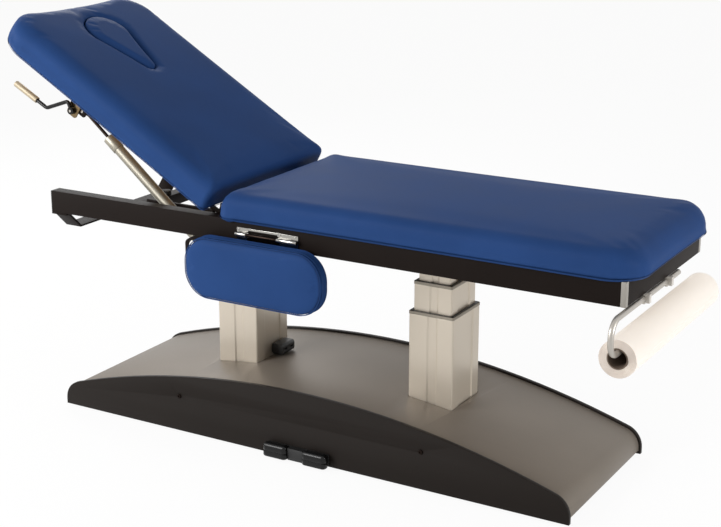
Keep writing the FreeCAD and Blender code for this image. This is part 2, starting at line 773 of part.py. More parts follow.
board_low = s.rail_bottom + s.rail_height - s.hinge_height + s.rest_pad_clear
ear_low = board_low - s.ear_foot_depth
w = s.ear_half_width
knob = w * (1 - LEAST_CORNER_SHARE)
ear_loop = rounded_loop([(-w, w, knob), (w, w, knob),
                         (w, board_low, 0), (s.ear_foot_width / 2, ear_low, 0),
                         (-s.ear_foot_width / 2, ear_low, 0), (-w, board_low, 0)])
arm_low = board_low - s.arm_depth
arm_loop = rounded_loop([(-w, w, knob), (w, w, knob), (w, arm_low, 0),
                         (-s.arm_length, arm_low, s.arm_depth / 2), (-s.arm_length, board_low, 0),
                         (-w, board_low, 0)])
EAR_INNER = f"({RAIL_INNER} - ear_thickness)"
ARM_OUTER = f"({RAIL_INNER} - ear_thickness - soft_gap)"
ARM_INNER = f"({RAIL_INNER} - 2 * ear_thickness - soft_gap)"
ears, arms, pins = [], [], []
for side in SIDES.values():
    ear = side_plate([ear_loop], "ear_thickness",
                     f"{side} * ({EAR_INNER} + ear_thickness / 2) - ear_thickness / 2")
    move(ear, ("-hinge_offset", f"{side} * ({EAR_INNER} + ear_thickness / 2)", "hinge_height"))
    ear_bore = cylinder("hinge_pin_radius", "ear_thickness + 2 * cut_overrun",
                        ("-hinge_offset", f"{side} * ({EAR_INNER} + ear_thickness / 2) - ear_thickness / 2"
                         " - cut_overrun", "hinge_height"), "y")
    ears.append(cut(ear, ear_bore))
    pin_length = "(2 * ear_thickness + soft_gap + hinge_pin_head)"
    pins.append(cylinder("hinge_pin_radius", pin_length,
                         ("-hinge_offset", f"{side} * ({RAIL_INNER} - {pin_length} / 2) - {pin_length} / 2",
                          "hinge_height"), "y"))
    arm = side_plate([arm_loop], "ear_thickness",
                     f"{side} * ({ARM_INNER} + ear_thickness / 2) - ear_thickness / 2")
    arm_bore = cylinder("hinge_pin_radius + running_gap", "ear_thickness + 2 * cut_overrun",
                        ("0", f"{side} * ({ARM_INNER} + ear_thickness / 2) - ear_thickness / 2"
                         " - cut_overrun", "0"), "y")
    arms.append(cut(arm, arm_bore))
node(group(*ears), "hinge_ears")
node(group(*pins), "hinge_pins")
node(on_head(group(*arms)), "head_hinge_arms")


# Cushions and their boards

def cushion_loop(span, width, corners, draws, inset):
    """A cushion's outline at one height: drawn-in sides as shallow arcs, corners as round arcs."""
    (x0, x1), half = (span[0] + inset, span[1] - inset), width / 2 - inset
    r0, r1 = (max(r - inset, r * LEAST_CORNER_SHARE) for r in corners)
    d0, d1, side_draw = draws
    places = [(x0, -half, r0, 1, 1), (x1, -half, r1, -1, 1), (x1, half, r1, -1, -1), (x0, half, r0, 1, -1)]
    diagonal = 1 - math.sqrt(0.5)
    starts, finishes, middles = [], [], []
    for index, (x, y, r, sx, sy) in enumerate(places):
        along_x, along_y = Vector(x + sx * r, y, 0), Vector(x, y + sy * r, 0)
        starts.append(along_y if index % 2 == 0 else along_x)
        finishes.append(along_x if index % 2 == 0 else along_y)
        middles.append(Vector(x + sx * r * diagonal, y + sy * r * diagonal, 0))
    inward = [Vector(0, side_draw, 0), Vector(-d1, 0, 0), Vector(0, -side_draw, 0), Vector(d0, 0, 0)]
    loop = []
    for index in range(len(places)):
        loop.append(Part.Arc(starts[index], middles[index], finishes[index]))
        after = starts[(index + 1) % len(places)]
        loop.append(Part.Arc(finishes[index], (finishes[index] + after) / 2 + inward[index], after))
    return loop


def cushion_solid(span, width, thick, corners, draws, base):
    """A crowned cushion lofted through its outlines from the tuck under its edge to the crown."""
    edge = s.cushion_edge
    steps = [(s.cushion_tuck, 0), (0, BULGE_HEIGHT_SHARE * thick), (0, thick - edge)]
    for step in (1, 2, 3):
        angle = math.radians(30 * step)
        steps.append((edge * (1 - math.cos(angle)), thick - edge + edge * math.sin(angle)))
    for inset_share, height_share in zip(CROWN_INSET_SHARES, CROWN_HEIGHT_SHARES):
        steps.append((edge + inset_share * (width / 2 - edge), thick + height_share * s.cushion_crown))
    sections = []
    for inset, height in steps:
        sections.append(wire(cushion_loop(span, width, corners, draws, inset), base + height))
    return Part.makeLoft(sections, True, True)


def board_solid(span, width, corners, inset, low, high):
    return prism(cushion_loop(span, width, corners, (s.soft_gap,) * 3, inset), low, high)


rail_top = s.rail_bottom + s.rail_height
seat_span = (-s.seat_head_end, s.seat_foot_end)
seat_corners = (s.cushion_small_corner, s.seat_corner)
even_draws = (s.cushion_draw,) * 3
seat_board = board_solid(seat_span, s.cushion_width, seat_corners, s.board_inset,
                         rail_top, rail_top + s.board_thickness)
seat_room = board_solid(seat_span, s.cushion_width, seat_corners, s.board_inset - s.soft_gap,
                        rail_top - s.cut_overrun, rail_top + s.board_thickness)
node(feature(seat_board), "seat_board")
seat_soft = cushion_solid(seat_span, s.cushion_width, s.cushion_thickness, seat_corners, even_draws, rail_top)
node(feature(seat_soft.cut(seat_room)), "seat_cushion")


def teardrop(inset):
    """The face hole's outline: a large round end and a small one joined by their tangents."""
    large, small = s.plug_large_radius - inset, s.plug_small_radius - inset
    far = Vector(s.plug_large_radius - s.plug_head_end, 0, 0)
    near = Vector(-s.plug_hinge_end - s.plug_small_radius, 0, 0)
    lean = math.asin((large - small) / near.distanceToPoint(far))
    up = Vector(math.sin(lean), math.cos(lean), 0)
    down = Vector(up.x, -up.y, 0)
    tip = far - Vector(large, 0, 0)
    rise = (up - Vector(1, 0, 0)).normalize()
    fall = Vector(rise.x, -rise.y, 0)
    nose = near + Vector(small, 0, 0)
    return [Part.LineSegment(near + up * small, far + up * large),
            Part.Arc(far + up * large, far + rise * large, tip),
            Part.Arc(tip, far + fall * large, far + down * large),
            Part.LineSegment(far + down * large, near + down * small),
            Part.Arc(near + down * small, nose, near + up * small)]


head_span = (-s.head_reach, -s.head_start)
head_corners = (s.head_corner, s.cushion_small_corner)
head_draws = (s.head_dip, s.cushion_draw, s.cushion_draw)
board_top = board_low + s.board_thickness
cushion_top = board_low + s.head_thickness + s.cushion_crown
head_board = board_solid(head_span, s.cushion_width, head_corners, s.board_inset, board_low, board_top)
head_room = board_solid(head_span, s.cushion_width, head_corners, s.board_inset - s.soft_gap,
                        board_low - s.cut_overrun, board_top)
face_hole = prism(teardrop(0), board_low - s.cut_overrun, cushion_top + s.cut_overrun)
board_hole = prism(teardrop(s.plug_ledge), board_low - s.cut_overrun, board_top + s.cut_overrun)
head_soft = cushion_solid(head_span, s.cushion_width, s.head_thickness, head_corners, head_draws, board_low)
node(on_head(feature(head_board.cut(board_hole))), "head_board")
node(on_head(feature(head_soft.cut(head_room).cut(face_hole))), "head_cushion")
plug_top = cushion_top + s.plug_rise
plug_steps = [(s.plug_gap, board_top + s.soft_gap), (s.plug_gap, plug_top - s.plug_edge - s.plug_rise),
              (s.plug_gap + s.plug_edge / 3, plug_top - s.plug_rise), (s.plug_gap + s.plug_edge, plug_top)]
plug_sections = [wire(teardrop(inset), height) for inset, height in plug_steps]
node(on_head(feature(Part.makeLoft(plug_sections, True, True))), "face_plug")


# Gas strut between the bed frame and the head section

tilt = FreeCAD.Rotation(Vector(0, 1, 0), s.head_tilt)
hinge = Vector(-s.hinge_offset, 0, s.hinge_height)
strut_top = hinge + tilt.multVec(Vector(-s.strut_head_reach, 0, -s.strut_head_drop))
strut_foot = Vector(-s.strut_foot_offset, 0, s.strut_foot_height)
strut_run = strut_top - strut_foot
strut_lean = math.degrees(math.atan2(strut_run.x, strut_run.z))
strut_place = FreeCAD.Placement(strut_foot - Vector(0, s.strut_line, 0),
                                FreeCAD.Rotation(Vector(0, 1, 0), strut_lean))


def eye(height, bore):
    """A strut's eye: a short cylinder across the strut with a hole for its pin."""
    low = Vector(0, -s.strut_eye_width / 2, height)
    ring = Part.makeCylinder(s.strut_eye_radius, s.strut_eye_width, low, Vector(0, 1, 0))
    across = Vector(0, -s.strut_radius, height)
    return ring, Part.makeCylinder(bore, 2 * s.strut_radius, across, Vector(0, 1, 0))


ring, ring_bore = eye(0, s.strut_pin_radius)
barrel = Part.makeCylinder(s.strut_radius, s.strut_length - s.strut_neck - s.strut_collar_length,
                           Vector(0, 0, s.strut_neck))
neck = Part.makeCylinder(s.strut_eye_radius - s.cheek_gap, s.strut_neck)
bore = Part.makeCylinder(s.strut_rod_radius + s.strut_bore_gap, s.strut_length,
                         Vector(0, 0, s.strut_bore_floor))
strut_body = feature(ring.fuse([neck, barrel]).cut(bore).cut(ring_bore).removeSplitter())
strut_body.Placement = strut_place
node(strut_body, "strut_cylinder")
sleeve = Part.makeCylinder(s.strut_collar_radius, s.strut_collar_length,
                           Vector(0, 0, s.strut_length - s.strut_collar_length))
strut_sleeve = feature(sleeve.cut(bore))
strut_sleeve.Placement = strut_place
node(strut_sleeve, "strut_collar")
foot_reach = s.strut_radius + s.foot_cheek_gap + s.cheek_thickness + s.strut_pin_head
strut_pin = feature(Part.makeCylinder(s.strut_pin_radius, 2 * foot_reach,
                                      Vector(0, -foot_reach, 0), Vector(0, 1, 0)))
strut_pin.Placement = strut_place
node(strut_pin, "strut_foot_pin")
ring, ring_bore = eye(strut_run.Length, s.strut_pin_radius + s.running_gap)
rod_start = s.strut_length - s.strut_rod_hidden
rod = Part.makeCylinder(s.strut_rod_radius, strut_run.Length - rod_start, Vector(0, 0, rod_start))
strut_rod = feature(rod.fuse(ring).cut(ring_bore).removeSplitter())
strut_rod.Placement = strut_place
node(strut_rod, "strut_rod")

cheek_in = "(strut_eye_width / 2 + cheek_gap)"
cheek_low = -s.strut_head_drop - s.cheek_half_width
cheek_loop = rounded_loop([
    (-s.strut_head_reach - s.cheek_half_width, board_low, 0),
    (-s.strut_head_reach - s.cheek_half_width, cheek_low, s.cheek_half_width / 2),
    (-s.strut_head_reach + s.cheek_half_width, cheek_low, s.cheek_half_width / 2),
    (-s.strut_head_reach + s.cheek_half_width, board_low, 0)])
cheek_mid = f"({cheek_in} + cheek_thickness / 2)"
yoke = [side_plate([cheek_loop], "cheek_thickness",
                   f"-strut_line + {end} * {cheek_mid} - cheek_thickness / 2") for end in ENDS]
yoke.append(box(("2 * cheek_half_width", f"2 * {cheek_in}", "cheek_thickness"),
                ("-strut_head_reach - cheek_half_width", f"-strut_line - {cheek_in}",
                 f"{RAIL_TOP} - hinge_height + rest_pad_clear - cheek_thickness")))
yoke_length = f"(2 * {cheek_in} + 2 * cheek_thickness + 2 * strut_pin_head)"
yoke_pin = ("strut_pin_radius", yoke_length,
            ("-strut_head_reach", f"-strut_line - {yoke_length} / 2", "-strut_head_drop"), "y")
node(on_head(cut(fuse(*yoke), cylinder(*yoke_pin))), "strut_head_bracket")
node(on_head(group(cylinder(*yoke_pin))), "strut_head_pin")

foot_in = "(strut_radius + foot_cheek_gap)"
bearer_low = -s.head_column + stage_size(2)[0] / 2
hole_x, hole_z = -s.strut_foot_offset - s.foot_cheek_shift, s.strut_foot_height - s.foot_cheek_shift
reach = s.foot_cheek_hole + s.foot_cheek_margin
foot_loop = rounded_loop([(bearer_low - s.bearer_width, s.rail_bottom, 0),
                          (hole_x - reach, hole_z + reach / 2, reach / 2),
                          (hole_x - reach, hole_z - reach, reach / 2),
                          (hole_x + reach, hole_z - reach, reach / 2), (bearer_low, s.rail_bottom, 0)])
foot_hole = [Part.Circle(Vector(hole_x, hole_z, 0), Vector(0, 0, 1), s.foot_cheek_hole)]
foot_mid = f"({foot_in} + cheek_thickness / 2)"
bracket = [side_plate([foot_loop, foot_hole], "cheek_thickness",
                      f"-strut_line + {end} * {foot_mid} - cheek_thickness / 2") for end in ENDS]
bracket.append(box(("bearer_width / 2", f"2 * {foot_in}", "cheek_thickness"),
                   (f"-head_column + {top_length} / 2 - bearer_width / 2", f"-strut_line - {foot_in}",
                    "rail_bottom - cheek_thickness")))
node(fuse(*bracket), "strut_foot_bracket")


# Release lever under the head section

plate_high = "(lever_line - lever_rod_radius - lever_plate_gap)"
lever_low = -s.lever_pivot_drop - s.lever_plate_half_width
lever_left = -s.lever_pivot_reach - s.lever_plate_half_width
lever_right = -s.lever_pivot_reach + s.lever_plate_half_width
lever_round = s.lever_plate_half_width / 2
lever_loop = rounded_loop([(lever_left, board_low, 0), (lever_left, lever_low, lever_round),
                           (lever_right, lever_low, lever_round), (lever_right, board_low, 0)])
lever_plate = side_plate([lever_loop], "cheek_thickness", f"-{plate_high}")
lever_pin_length = "(2 * lever_rod_radius + lever_plate_gap + cheek_thickness + 2 * lever_plate_gap)"
lever_pin = ("lever_pin_radius", lever_pin_length,
             ("-lever_pivot_reach", "-lever_line - lever_rod_radius - lever_plate_gap",
              "-lever_pivot_drop"), "y")
node(on_head(cut(lever_plate, cylinder(*lever_pin))), "lever_bracket")
node(on_head(group(cylinder(*lever_pin))), "lever_pin")


def lever_point(reach, drop):
    return Vector(-reach, -s.lever_line, -drop)


lever_path = [(lever_point(s.lever_pivot_reach, s.lever_pivot_drop), 0),
              (lever_point(s.lever_shoulder_reach, s.lever_shoulder_drop), s.lever_bend / 2),
              (lever_point(s.lever_elbow_reach, s.lever_elbow_drop), s.lever_bend),
              (lever_point(s.grip_end_reach, s.grip_drop), 0)]
hub_low = lever_point(s.lever_pivot_reach, s.lever_pivot_drop) - Vector(0, s.lever_rod_radius, 0)
hub_run = Vector(0, 1, 0)
hub = Part.makeCylinder(s.lever_hub_radius, 2 * s.lever_rod_radius, hub_low, hub_run)
hub_bore = Part.makeCylinder(s.lever_pin_radius + s.running_gap, 2 * s.lever_rod_radius, hub_low, hub_run)
lever_bar = bent_bar(lever_path, s.lever_rod_radius)
grip_run = (lever_path[3][0] - lever_path[2][0]).normalize()
grip_start = lever_path[3][0] - grip_run * (s.grip_end_reach - s.grip_start_reach)
grip_length = s.grip_end_reach - s.grip_start_reach + s.grip_radius
grip = Part.makeCylinder(s.grip_radius, grip_length, grip_start, grip_run)
node(on_head(feature(lever_bar.fuse(hub).cut(hub_bore).removeSplitter())), "release_lever")
node(on_head(feature(grip.cut(lever_bar))), "lever_grip")


# Arm pad that hangs on the near rail

ARM_Y = "(-bed_width / 2 - arm_axis_stand)"
ARM_Z = f"({RAIL_TOP} - arm_axis_drop)"
arm_plate_start = "(-arm_plate_centre - arm_plate_length / 2)"
arm_bar = ("arm_pin_radius", "arm_plate_length", (arm_plate_start, ARM_Y, ARM_Z), "x")
fixed = [box(("arm_plate_length", "arm_plate", "arm_plate_height"),
             (arm_plate_start, "-bed_width / 2 - arm_plate", f"{ARM_Z} - arm_plate_height / 2 - arm_plate / 2"))]
arm_lugs = (("arm_lug_length", arm_plate_start),
            ("arm_lug_long", f"({arm_plate_start} + arm_plate_length - arm_lug_long)"))
for length, start in arm_lugs:
    fixed.append(cylinder("arm_knuckle_radius", length, (start, ARM_Y, ARM_Z), "x"))
    fixed.append(box((length, "arm_axis_stand - arm_plate / 2", "arm_knuckle_radius"),
                     (start, ARM_Y, f"{ARM_Z} - arm_knuckle_radius / 2")))
node(cut(fuse(*fixed), cylinder(*arm_bar)), "arm_hinge_bracket")
node(cylinder(*arm_bar), "arm_hinge_pin")
leaf_start = f"({arm_plate_start} + arm_lug_length + soft_gap)"
leaf_length = "(arm_plate_length - arm_lug_length - arm_lug_long - 2 * soft_gap)"
leaf_face = "(-bed_width / 2 - arm_plate - arm_leaf_clear)"
knuckle = cylinder("arm_knuckle_radius - arm_leaf_clear", leaf_length, (leaf_start, ARM_Y, ARM_Z), "x")
leaf = box((leaf_length, "arm_plate", "arm_leaf_drop"),
           (leaf_start, f"{leaf_face} - arm_plate", f"{ARM_Z} - arm_leaf_drop"))
leaf_bore = cylinder("arm_pin_radius + running_gap", "arm_plate_length", arm_bar[2], "x")
node(cut(fuse(knuckle, leaf), leaf_bore), "arm_hinge_leaf")

pad_back = -s.bed_width / 2 - 2 * s.arm_plate - s.arm_leaf_clear
pad_span = (-s.pad_centre - s.pad_length / 2, -s.pad_centre + s.pad_length / 2)


def pad_section(inset, depth):
    """The pad's long rounded outline in X and Z, at a depth in front of its back face."""
    half = s.pad_height / 2 - inset
    (x0, x1), mid = (pad_span[0] + inset, pad_span[1] - inset), rail_top - s.pad_drop - s.pad_height / 2
    left, right = Vector(x0 + half, mid, 0), Vector(x1 - half, mid, 0)
    up, slant = Vector(0, half, 0), Vector(math.sqrt(0.5), math.sqrt(0.5), 0) * half
    flip = Vector(slant.x, -slant.y, 0)
    tip = Vector(half, 0, 0)
    loop = [Part.LineSegment(left - up, right - up), Part.Arc(right - up, right + flip, right + tip),
            Part.Arc(right + tip, right + slant, right + up), Part.LineSegment(right + up, left + up),
            Part.Arc(left + up, left - flip, left - tip), Part.Arc(left - tip, left - slant, left - up)]
    section = wire(loop)
    section.rotate(Vector(), Vector(1, 0, 0), 90)
    section.translate(Vector(0, pad_back - depth, 0))
    return section


front = s.pad_thickness - s.pad_crown
pad_steps = [(s.cushion_tuck, 0), (0, s.pad_edge), (0, front - s.pad_edge)]
for step in (1, 2, 3):
    angle = math.radians(30 * step)
    pad_steps.append((s.pad_edge * (1 - math.cos(angle)), front - s.pad_edge + s.pad_edge * math.sin(angle)))
pad_steps.append((s.pad_edge + (s.pad_height / 2 - s.pad_edge) / 2, s.pad_thickness))
pad_soft = Part.makeLoft([pad_section(inset, depth) for inset, depth in pad_steps], True, True)
depth_run = Vector(0, -s.pad_board, 0)
pad_board = Part.Face(pad_section(s.pad_board_inset, 0)).extrude(depth_run)
pad_room = Part.Face(pad_section(s.pad_board_inset - s.soft_gap, -s.cut_overrun)).extrude(
    depth_run - Vector(0, s.cut_overrun, 0))
node(feature(pad_board), "arm_pad_board")
node(feature(pad_soft.cut(pad_room)), "arm_pad_cushion")


# Paper roll on its bent rod at the foot end

rod_high = s.rail_bottom - s.clip_cover - s.roll_rod_radius
rod_low = rod_high - s.roll_rod_drop


def rod_point(y, z):
    return Vector(s.roll_rod_offset, y, z)


rod_path = [(rod_point(s.roll_rod_far_end, rod_high), 0),
            (rod_point(-s.roll_rod_turn, rod_high), s.roll_rod_bend),
            (rod_point(-s.roll_rod_turn, rod_low), s.roll_rod_bend),
            (rod_point(s.roll_rod_inner_end, rod_low), 0)]
rod_bar = bent_bar(rod_path, s.roll_rod_radius)
node(feature(rod_bar), "paper_rod")

ROD_Z = "(rail_bottom - clip_cover - roll_rod_radius)"
clips = []
for end in ENDS:
    place = f"(-clip_centre + {end} * clip_spread / 2)"
    saddle = box(("clip_depth", "clip_width", "clip_height"),
                 ("roll_rod_offset - clip_depth / 2", f"{place} - clip_width / 2",
                  "rail_bottom - clip_height"))
    bore = cylinder("roll_rod_radius", "clip_width + 2 * cut_overrun",
                    ("roll_rod_offset", f"{place} - clip_width / 2 - cut_overrun", ROD_Z), "y")
    screw = cylinder("clip_screw_radius", "clip_screw_drop",
                     ("roll_rod_offset", place, "rail_bottom - clip_height - clip_screw_drop"), "z")
    clips.append(fuse(cut(saddle, bore), screw))
node(group(*clips), "rod_clips")

roll_z = "(rail_bottom - clip_cover - roll_rod_drop + soft_gap - core_radius)"
roll_start = ("roll_rod_offset", "-roll_near_end", roll_z)
core_out = cylinder("core_radius + core_wall", "roll_length", roll_start, "y")
core_in = cylinder("core_radius", "roll_length + 2 * cut_overrun",
                   ("roll_rod_offset", "-roll_near_end - cut_overrun", roll_z), "y")
node(cut(core_out, core_in), "paper_core")
paper_out = cylinder("roll_radius", "roll_length", roll_start, "y")
paper_in = cylinder("core_radius + core_wall", "roll_length + 2 * cut_overrun",
                    ("roll_rod_offset", "-roll_near_end - cut_overrun", roll_z), "y")
node(cut(paper_out, paper_in), "paper_roll")


# Check every object, then write one file for each sub-part

doc.recompute()
for thing in doc.Objects:
    if {"Invalid", "Error"} & set(thing.State):
        raise RuntimeError(f"{thing.Name} {thing.Label} did not build: {thing.State}")
for thing in nodes:
    if thing.Shape.isNull() or not thing.Shape.isValid() or not thing.Shape.Solids:
        raise RuntimeError(f"{thing.Label} has no valid solid")

os.makedirs("parts", exist_ok=True)
for thing in nodes:
    thing.Shape.exportStep(f"parts/{thing.Label}.step")
    box_now = thing.Shape.BoundBox
    print(f"{thing.Label:22s} {len(thing.Shape.Solids)} solids {thing.Shape.Volume / 1000:10.1f} cm3 "
          f"x {box_now.XMin:8.1f} {box_now.XMax:8.1f} y {box_now.YMin:8.1f} {box_now.YMax:8.1f} "
          f"z {box_now.ZMin:8.1f} {box_now.ZMax:8.1f}")
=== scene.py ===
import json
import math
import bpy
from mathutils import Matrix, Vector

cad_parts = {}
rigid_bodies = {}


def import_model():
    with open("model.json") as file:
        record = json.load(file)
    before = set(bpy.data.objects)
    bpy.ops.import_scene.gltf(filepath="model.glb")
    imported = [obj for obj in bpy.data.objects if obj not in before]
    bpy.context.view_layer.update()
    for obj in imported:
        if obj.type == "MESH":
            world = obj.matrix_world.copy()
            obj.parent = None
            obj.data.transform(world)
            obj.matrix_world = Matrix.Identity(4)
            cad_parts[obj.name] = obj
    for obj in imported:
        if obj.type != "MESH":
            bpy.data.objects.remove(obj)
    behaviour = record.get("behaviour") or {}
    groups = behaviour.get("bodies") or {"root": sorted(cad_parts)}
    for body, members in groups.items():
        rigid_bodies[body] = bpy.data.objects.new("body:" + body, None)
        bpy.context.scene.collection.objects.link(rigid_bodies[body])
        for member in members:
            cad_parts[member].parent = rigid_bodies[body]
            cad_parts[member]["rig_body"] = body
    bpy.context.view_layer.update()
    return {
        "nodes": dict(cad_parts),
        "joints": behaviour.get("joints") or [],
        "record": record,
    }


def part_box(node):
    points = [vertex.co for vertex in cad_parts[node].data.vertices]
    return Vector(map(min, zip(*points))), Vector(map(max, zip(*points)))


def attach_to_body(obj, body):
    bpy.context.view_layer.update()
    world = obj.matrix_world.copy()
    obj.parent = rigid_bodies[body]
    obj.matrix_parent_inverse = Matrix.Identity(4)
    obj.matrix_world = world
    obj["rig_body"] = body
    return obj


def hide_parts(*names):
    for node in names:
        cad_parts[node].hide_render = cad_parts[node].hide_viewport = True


bl_info = {
    "name": "Treatment table dresser",
    "version": (1, 0, 0),
    "blender": (4, 5, 0),
    "location": "View3D > Sidebar > Table",
    "description": "Dresses the packed frame of an electric treatment table: upholstery, finishes and stage",
    "category": "Object",
}

import bmesh
import bpy
from bpy.props import FloatProperty, FloatVectorProperty, PointerProperty
from mathutils import Matrix, Vector, noise

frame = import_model()
NODES = frame["nodes"]
JOINTS = {joint["name"]: joint for joint in frame["joints"]}

MM = 0.001
# Angles between two faces, in degrees, from which their edge is shaded as hard, or is rounded.
HARD_EDGE, GROOVE_EDGE, ROUNDED_EDGE = 38, 16, 40
TILT = math.radians(-JOINTS["head_tilt"]["range_deg"][0])
HEAD_PLACE = Matrix.Translation(JOINTS["head_tilt"]["pos_m"]) @ Matrix.Rotation(TILT, 4, "Y")
HEAD_FLAT = HEAD_PLACE.inverted()


def linear(red, green, blue):
    """A colour as seen on a screen, turned to the linear values that shaders work in."""
    return tuple(c / 12.92 if c <= 0.04045 else ((c + 0.055) / 1.055) ** 2.4 for c in (red, green, blue))


def length(name, description, default):
    return FloatProperty(name=name, description=description, default=default, unit="LENGTH", precision=4)


def colour(name, description, *screen):
    return FloatVectorProperty(name=name, description=description, subtype="COLOR", min=0, max=1,
                               default=linear(*screen))


class TableSizes(bpy.types.PropertyGroup):
    edge: length("Cushion edge", "Rounding of the long cushions' upper edges", 38 * MM)
    crown: length("Cushion crown", "Rise of the long cushions' middle above their edges", 4 * MM)
    tuck: length("Tuck", "How far the cover draws in under a cushion's edge", 9 * MM)
    small_corner: length("Seat hinge corner", "Corner radius of the seat cushion at the head hinge", 44 * MM)
    flush_corner: length("Head hinge corner", "Corner radius of the head cushion at the head hinge", 20 * MM)
    hinge_nose: length("Hinge nose", "Rounding of the seat cushion's end at the head hinge", 62 * MM)
    foot_nose: length("Foot nose", "Rounding of the seat cushion's end at the foot", 80 * MM)
    seat_corner: length("Foot corner", "Corner radius of the seat cushion at its foot end", 105 * MM)
    head_corner: length("Head corner", "Corner radius of the head cushion at its free end", 114 * MM)
    head_dip: length("Head dip", "How far the head cushion's end edge curves in", 9 * MM)
    side_draw: length("Side draw", "How far the cushions' sides pull in between corners", 3 * MM)
    voxel: length("Voxel", "Mesh pitch of the cloth that covers a long cushion", 9 * MM)
    swell: length("Swell", "The most that a cover may swell", 4 * MM)
    hem: length("Hem", "Height of the folded hem along the lower edge", 6 * MM)
    stitch: length("Stitch pitch", "Distance from one stitch to the next", 7 * MM)
    plug_small: length("Plug nose", "Radius of the face plug's small end", 24 * MM)
    plug_large: length("Plug head", "Radius of the face plug's large end", 80 * MM)
    plug_gap: length("Plug gap", "Gap between the face plug and its hole", 2 * MM)
    pad_edge: length("Pad edge", "Rounding of the arm pad's face", 10 * MM)
    rail_round: length("Rail rounding", "Corner rounding of the black tubes", 3 * MM)
    plate_round: length("Plate rounding", "Edge rounding of plates and brackets", 0.8 * MM)
    paper: length("Paper sheet", "Thickness of a wound layer of paper", 0.9 * MM)


class TableColours(bpy.types.PropertyGroup):
    vinyl: colour("Vinyl", "Upholstery", 0.155, 0.263, 0.455)
    thread: colour("Thread", "Seams and stitches", 0.11, 0.18, 0.33)
    black: colour("Black", "Powder coat of rails and brackets", 0.105, 0.082, 0.072)
    panel: colour("Panel", "Powder coat of the base's side panels", 0.115, 0.096, 0.084)
    cover: colour("Cover", "Powder coat of the arched cover", 0.485, 0.455, 0.42)
    column: colour("Column", "Anodised column tubes", 0.80, 0.76, 0.70)
    collar: colour("Collar", "Column collars", 0.55, 0.52, 0.47)
    silver: colour("Silver", "Rod and posts", 0.72, 0.70, 0.67)
    strut: colour("Strut", "Gas strut", 0.60, 0.58, 0.53)
    clip: colour("Clip", "Paper rod's clips", 0.80, 0.78, 0.75)
    chrome: colour("Chrome", "Arm pad hinge", 0.66, 0.65, 0.63)
    plastic: colour("Plastic", "Black mouldings", 0.055, 0.055, 0.055)
    paper: colour("Paper", "Paper roll", 0.955, 0.935, 0.91)
    paper_end: colour("Paper end", "Ends of the paper roll", 0.86, 0.81, 0.765)
    card: colour("Card", "Core of the paper roll", 0.42, 0.36, 0.31)
    grip: colour("Grip", "Release lever's grip", 0.68, 0.63, 0.54)
    brass: colour("Brass", "Plated lever bracket", 0.50, 0.43, 0.32)
    wood: colour("Wood", "Cushion boards", 0.64, 0.50, 0.34)
    floor: colour("Floor", "Floor and backdrop", 0.99, 0.99, 0.99)


def sizes():
    return bpy.context.scene.table_sizes


def colours():
    return bpy.context.scene.table_colours


# Materials

class Tap:
    """A value inside a material's node tree, with arithmetic that adds Math nodes."""

    def __init__(self, paint, socket):
        self.paint, self.socket = paint, socket

    def math(self, operation, first, second):
        return self.paint.add("ShaderNodeMath", {"operation": operation}, first, second)

    def __add__(self, other):
        return self.math("ADD", self, other)

    def __sub__(self, other):
        return self.math("SUBTRACT", self, other)

    def __rsub__(self, other):
        return self.math("SUBTRACT", other, self)

    def __mul__(self, other):
        return self.math("MULTIPLY", self, other)

    __radd__, __rmul__ = __add__, __mul__


class Paint:
    """A material whose nodes are added one call at a time."""

    made = {}

    def __init__(self, name):
        self.material = bpy.data.materials.new(name)
        self.material.use_nodes = True
        self.tree = self.material.node_tree
        self.shader = next(n for n in self.tree.nodes if n.type == "BSDF_PRINCIPLED")
        self.place = self.add("ShaderNodeTexCoord", {}, output="Object")

    def feed(self, socket, value):
        if isinstance(value, Tap):
            self.tree.links.new(value.socket, socket)
        elif socket.type == "RGBA" and len(value) == 3:
            socket.default_value = (*value, 1)
        else:
            socket.default_value = value

    def add(self, kind, settings, *values, output=0, **named):
        node = self.tree.nodes.new(kind)
        for key, value in settings.items():
            setattr(node, key, value)
        for index, value in enumerate(values):
            self.feed(node.inputs[index], value)
        for key, value in named.items():
            self.feed(node.inputs[key.replace("_", " ")], value)
        return Tap(self, node.outputs[output])

    def stretched(self, *factors):
        return self.add("ShaderNodeMapping", {}, self.place, Scale=factors)

    def noise(self, scale, detail=3, place=None):
        return self.add("ShaderNodeTexNoise", {}, Vector=place or self.place, Scale=scale, Detail=detail,
                        output="Fac")

    def cells(self, scale):
        return self.add("ShaderNodeTexVoronoi", {}, Vector=self.place, Scale=scale, output="Distance")

    def spread(self, value, low, high, first, last):
        """A value moved from one range to another and held there."""
        return self.add("ShaderNodeMapRange", {"clamp": True}, value, low, high, first, last)

    def blend(self, share, first, second):
        node = self.tree.nodes.new("ShaderNodeMix")
        node.data_type = "RGBA"
        self.feed(node.inputs["Factor"], share)
        for socket, value in zip((s for s in node.inputs if s.type == "RGBA"), (first, second)):
            self.feed(socket, value)
        return Tap(self, next(s for s in node.outputs if s.type == "RGBA"))

    def set(self, **values):
        for key, value in values.items():
            self.feed(self.shader.inputs[key.replace("_", " ")], value)

    def bump(self, height, depth, strength):
        """Relief of a given depth in metres on the surface."""
        self.set(Normal=self.add("ShaderNodeBump", {}, Height=height, Distance=depth, Strength=strength,
                                 output="Normal"))


def shade(base, factor):
    return tuple(min(1, c * factor) for c in base)


def finish(maker):
    """Turns a function that fills a Paint into one that makes its material once."""
    def give():
        if maker.__name__ not in Paint.made:
            paint = Paint(maker.__name__)
            maker(paint, colours())
            Paint.made[maker.__name__] = paint.material
        return Paint.made[maker.__name__]
    return give


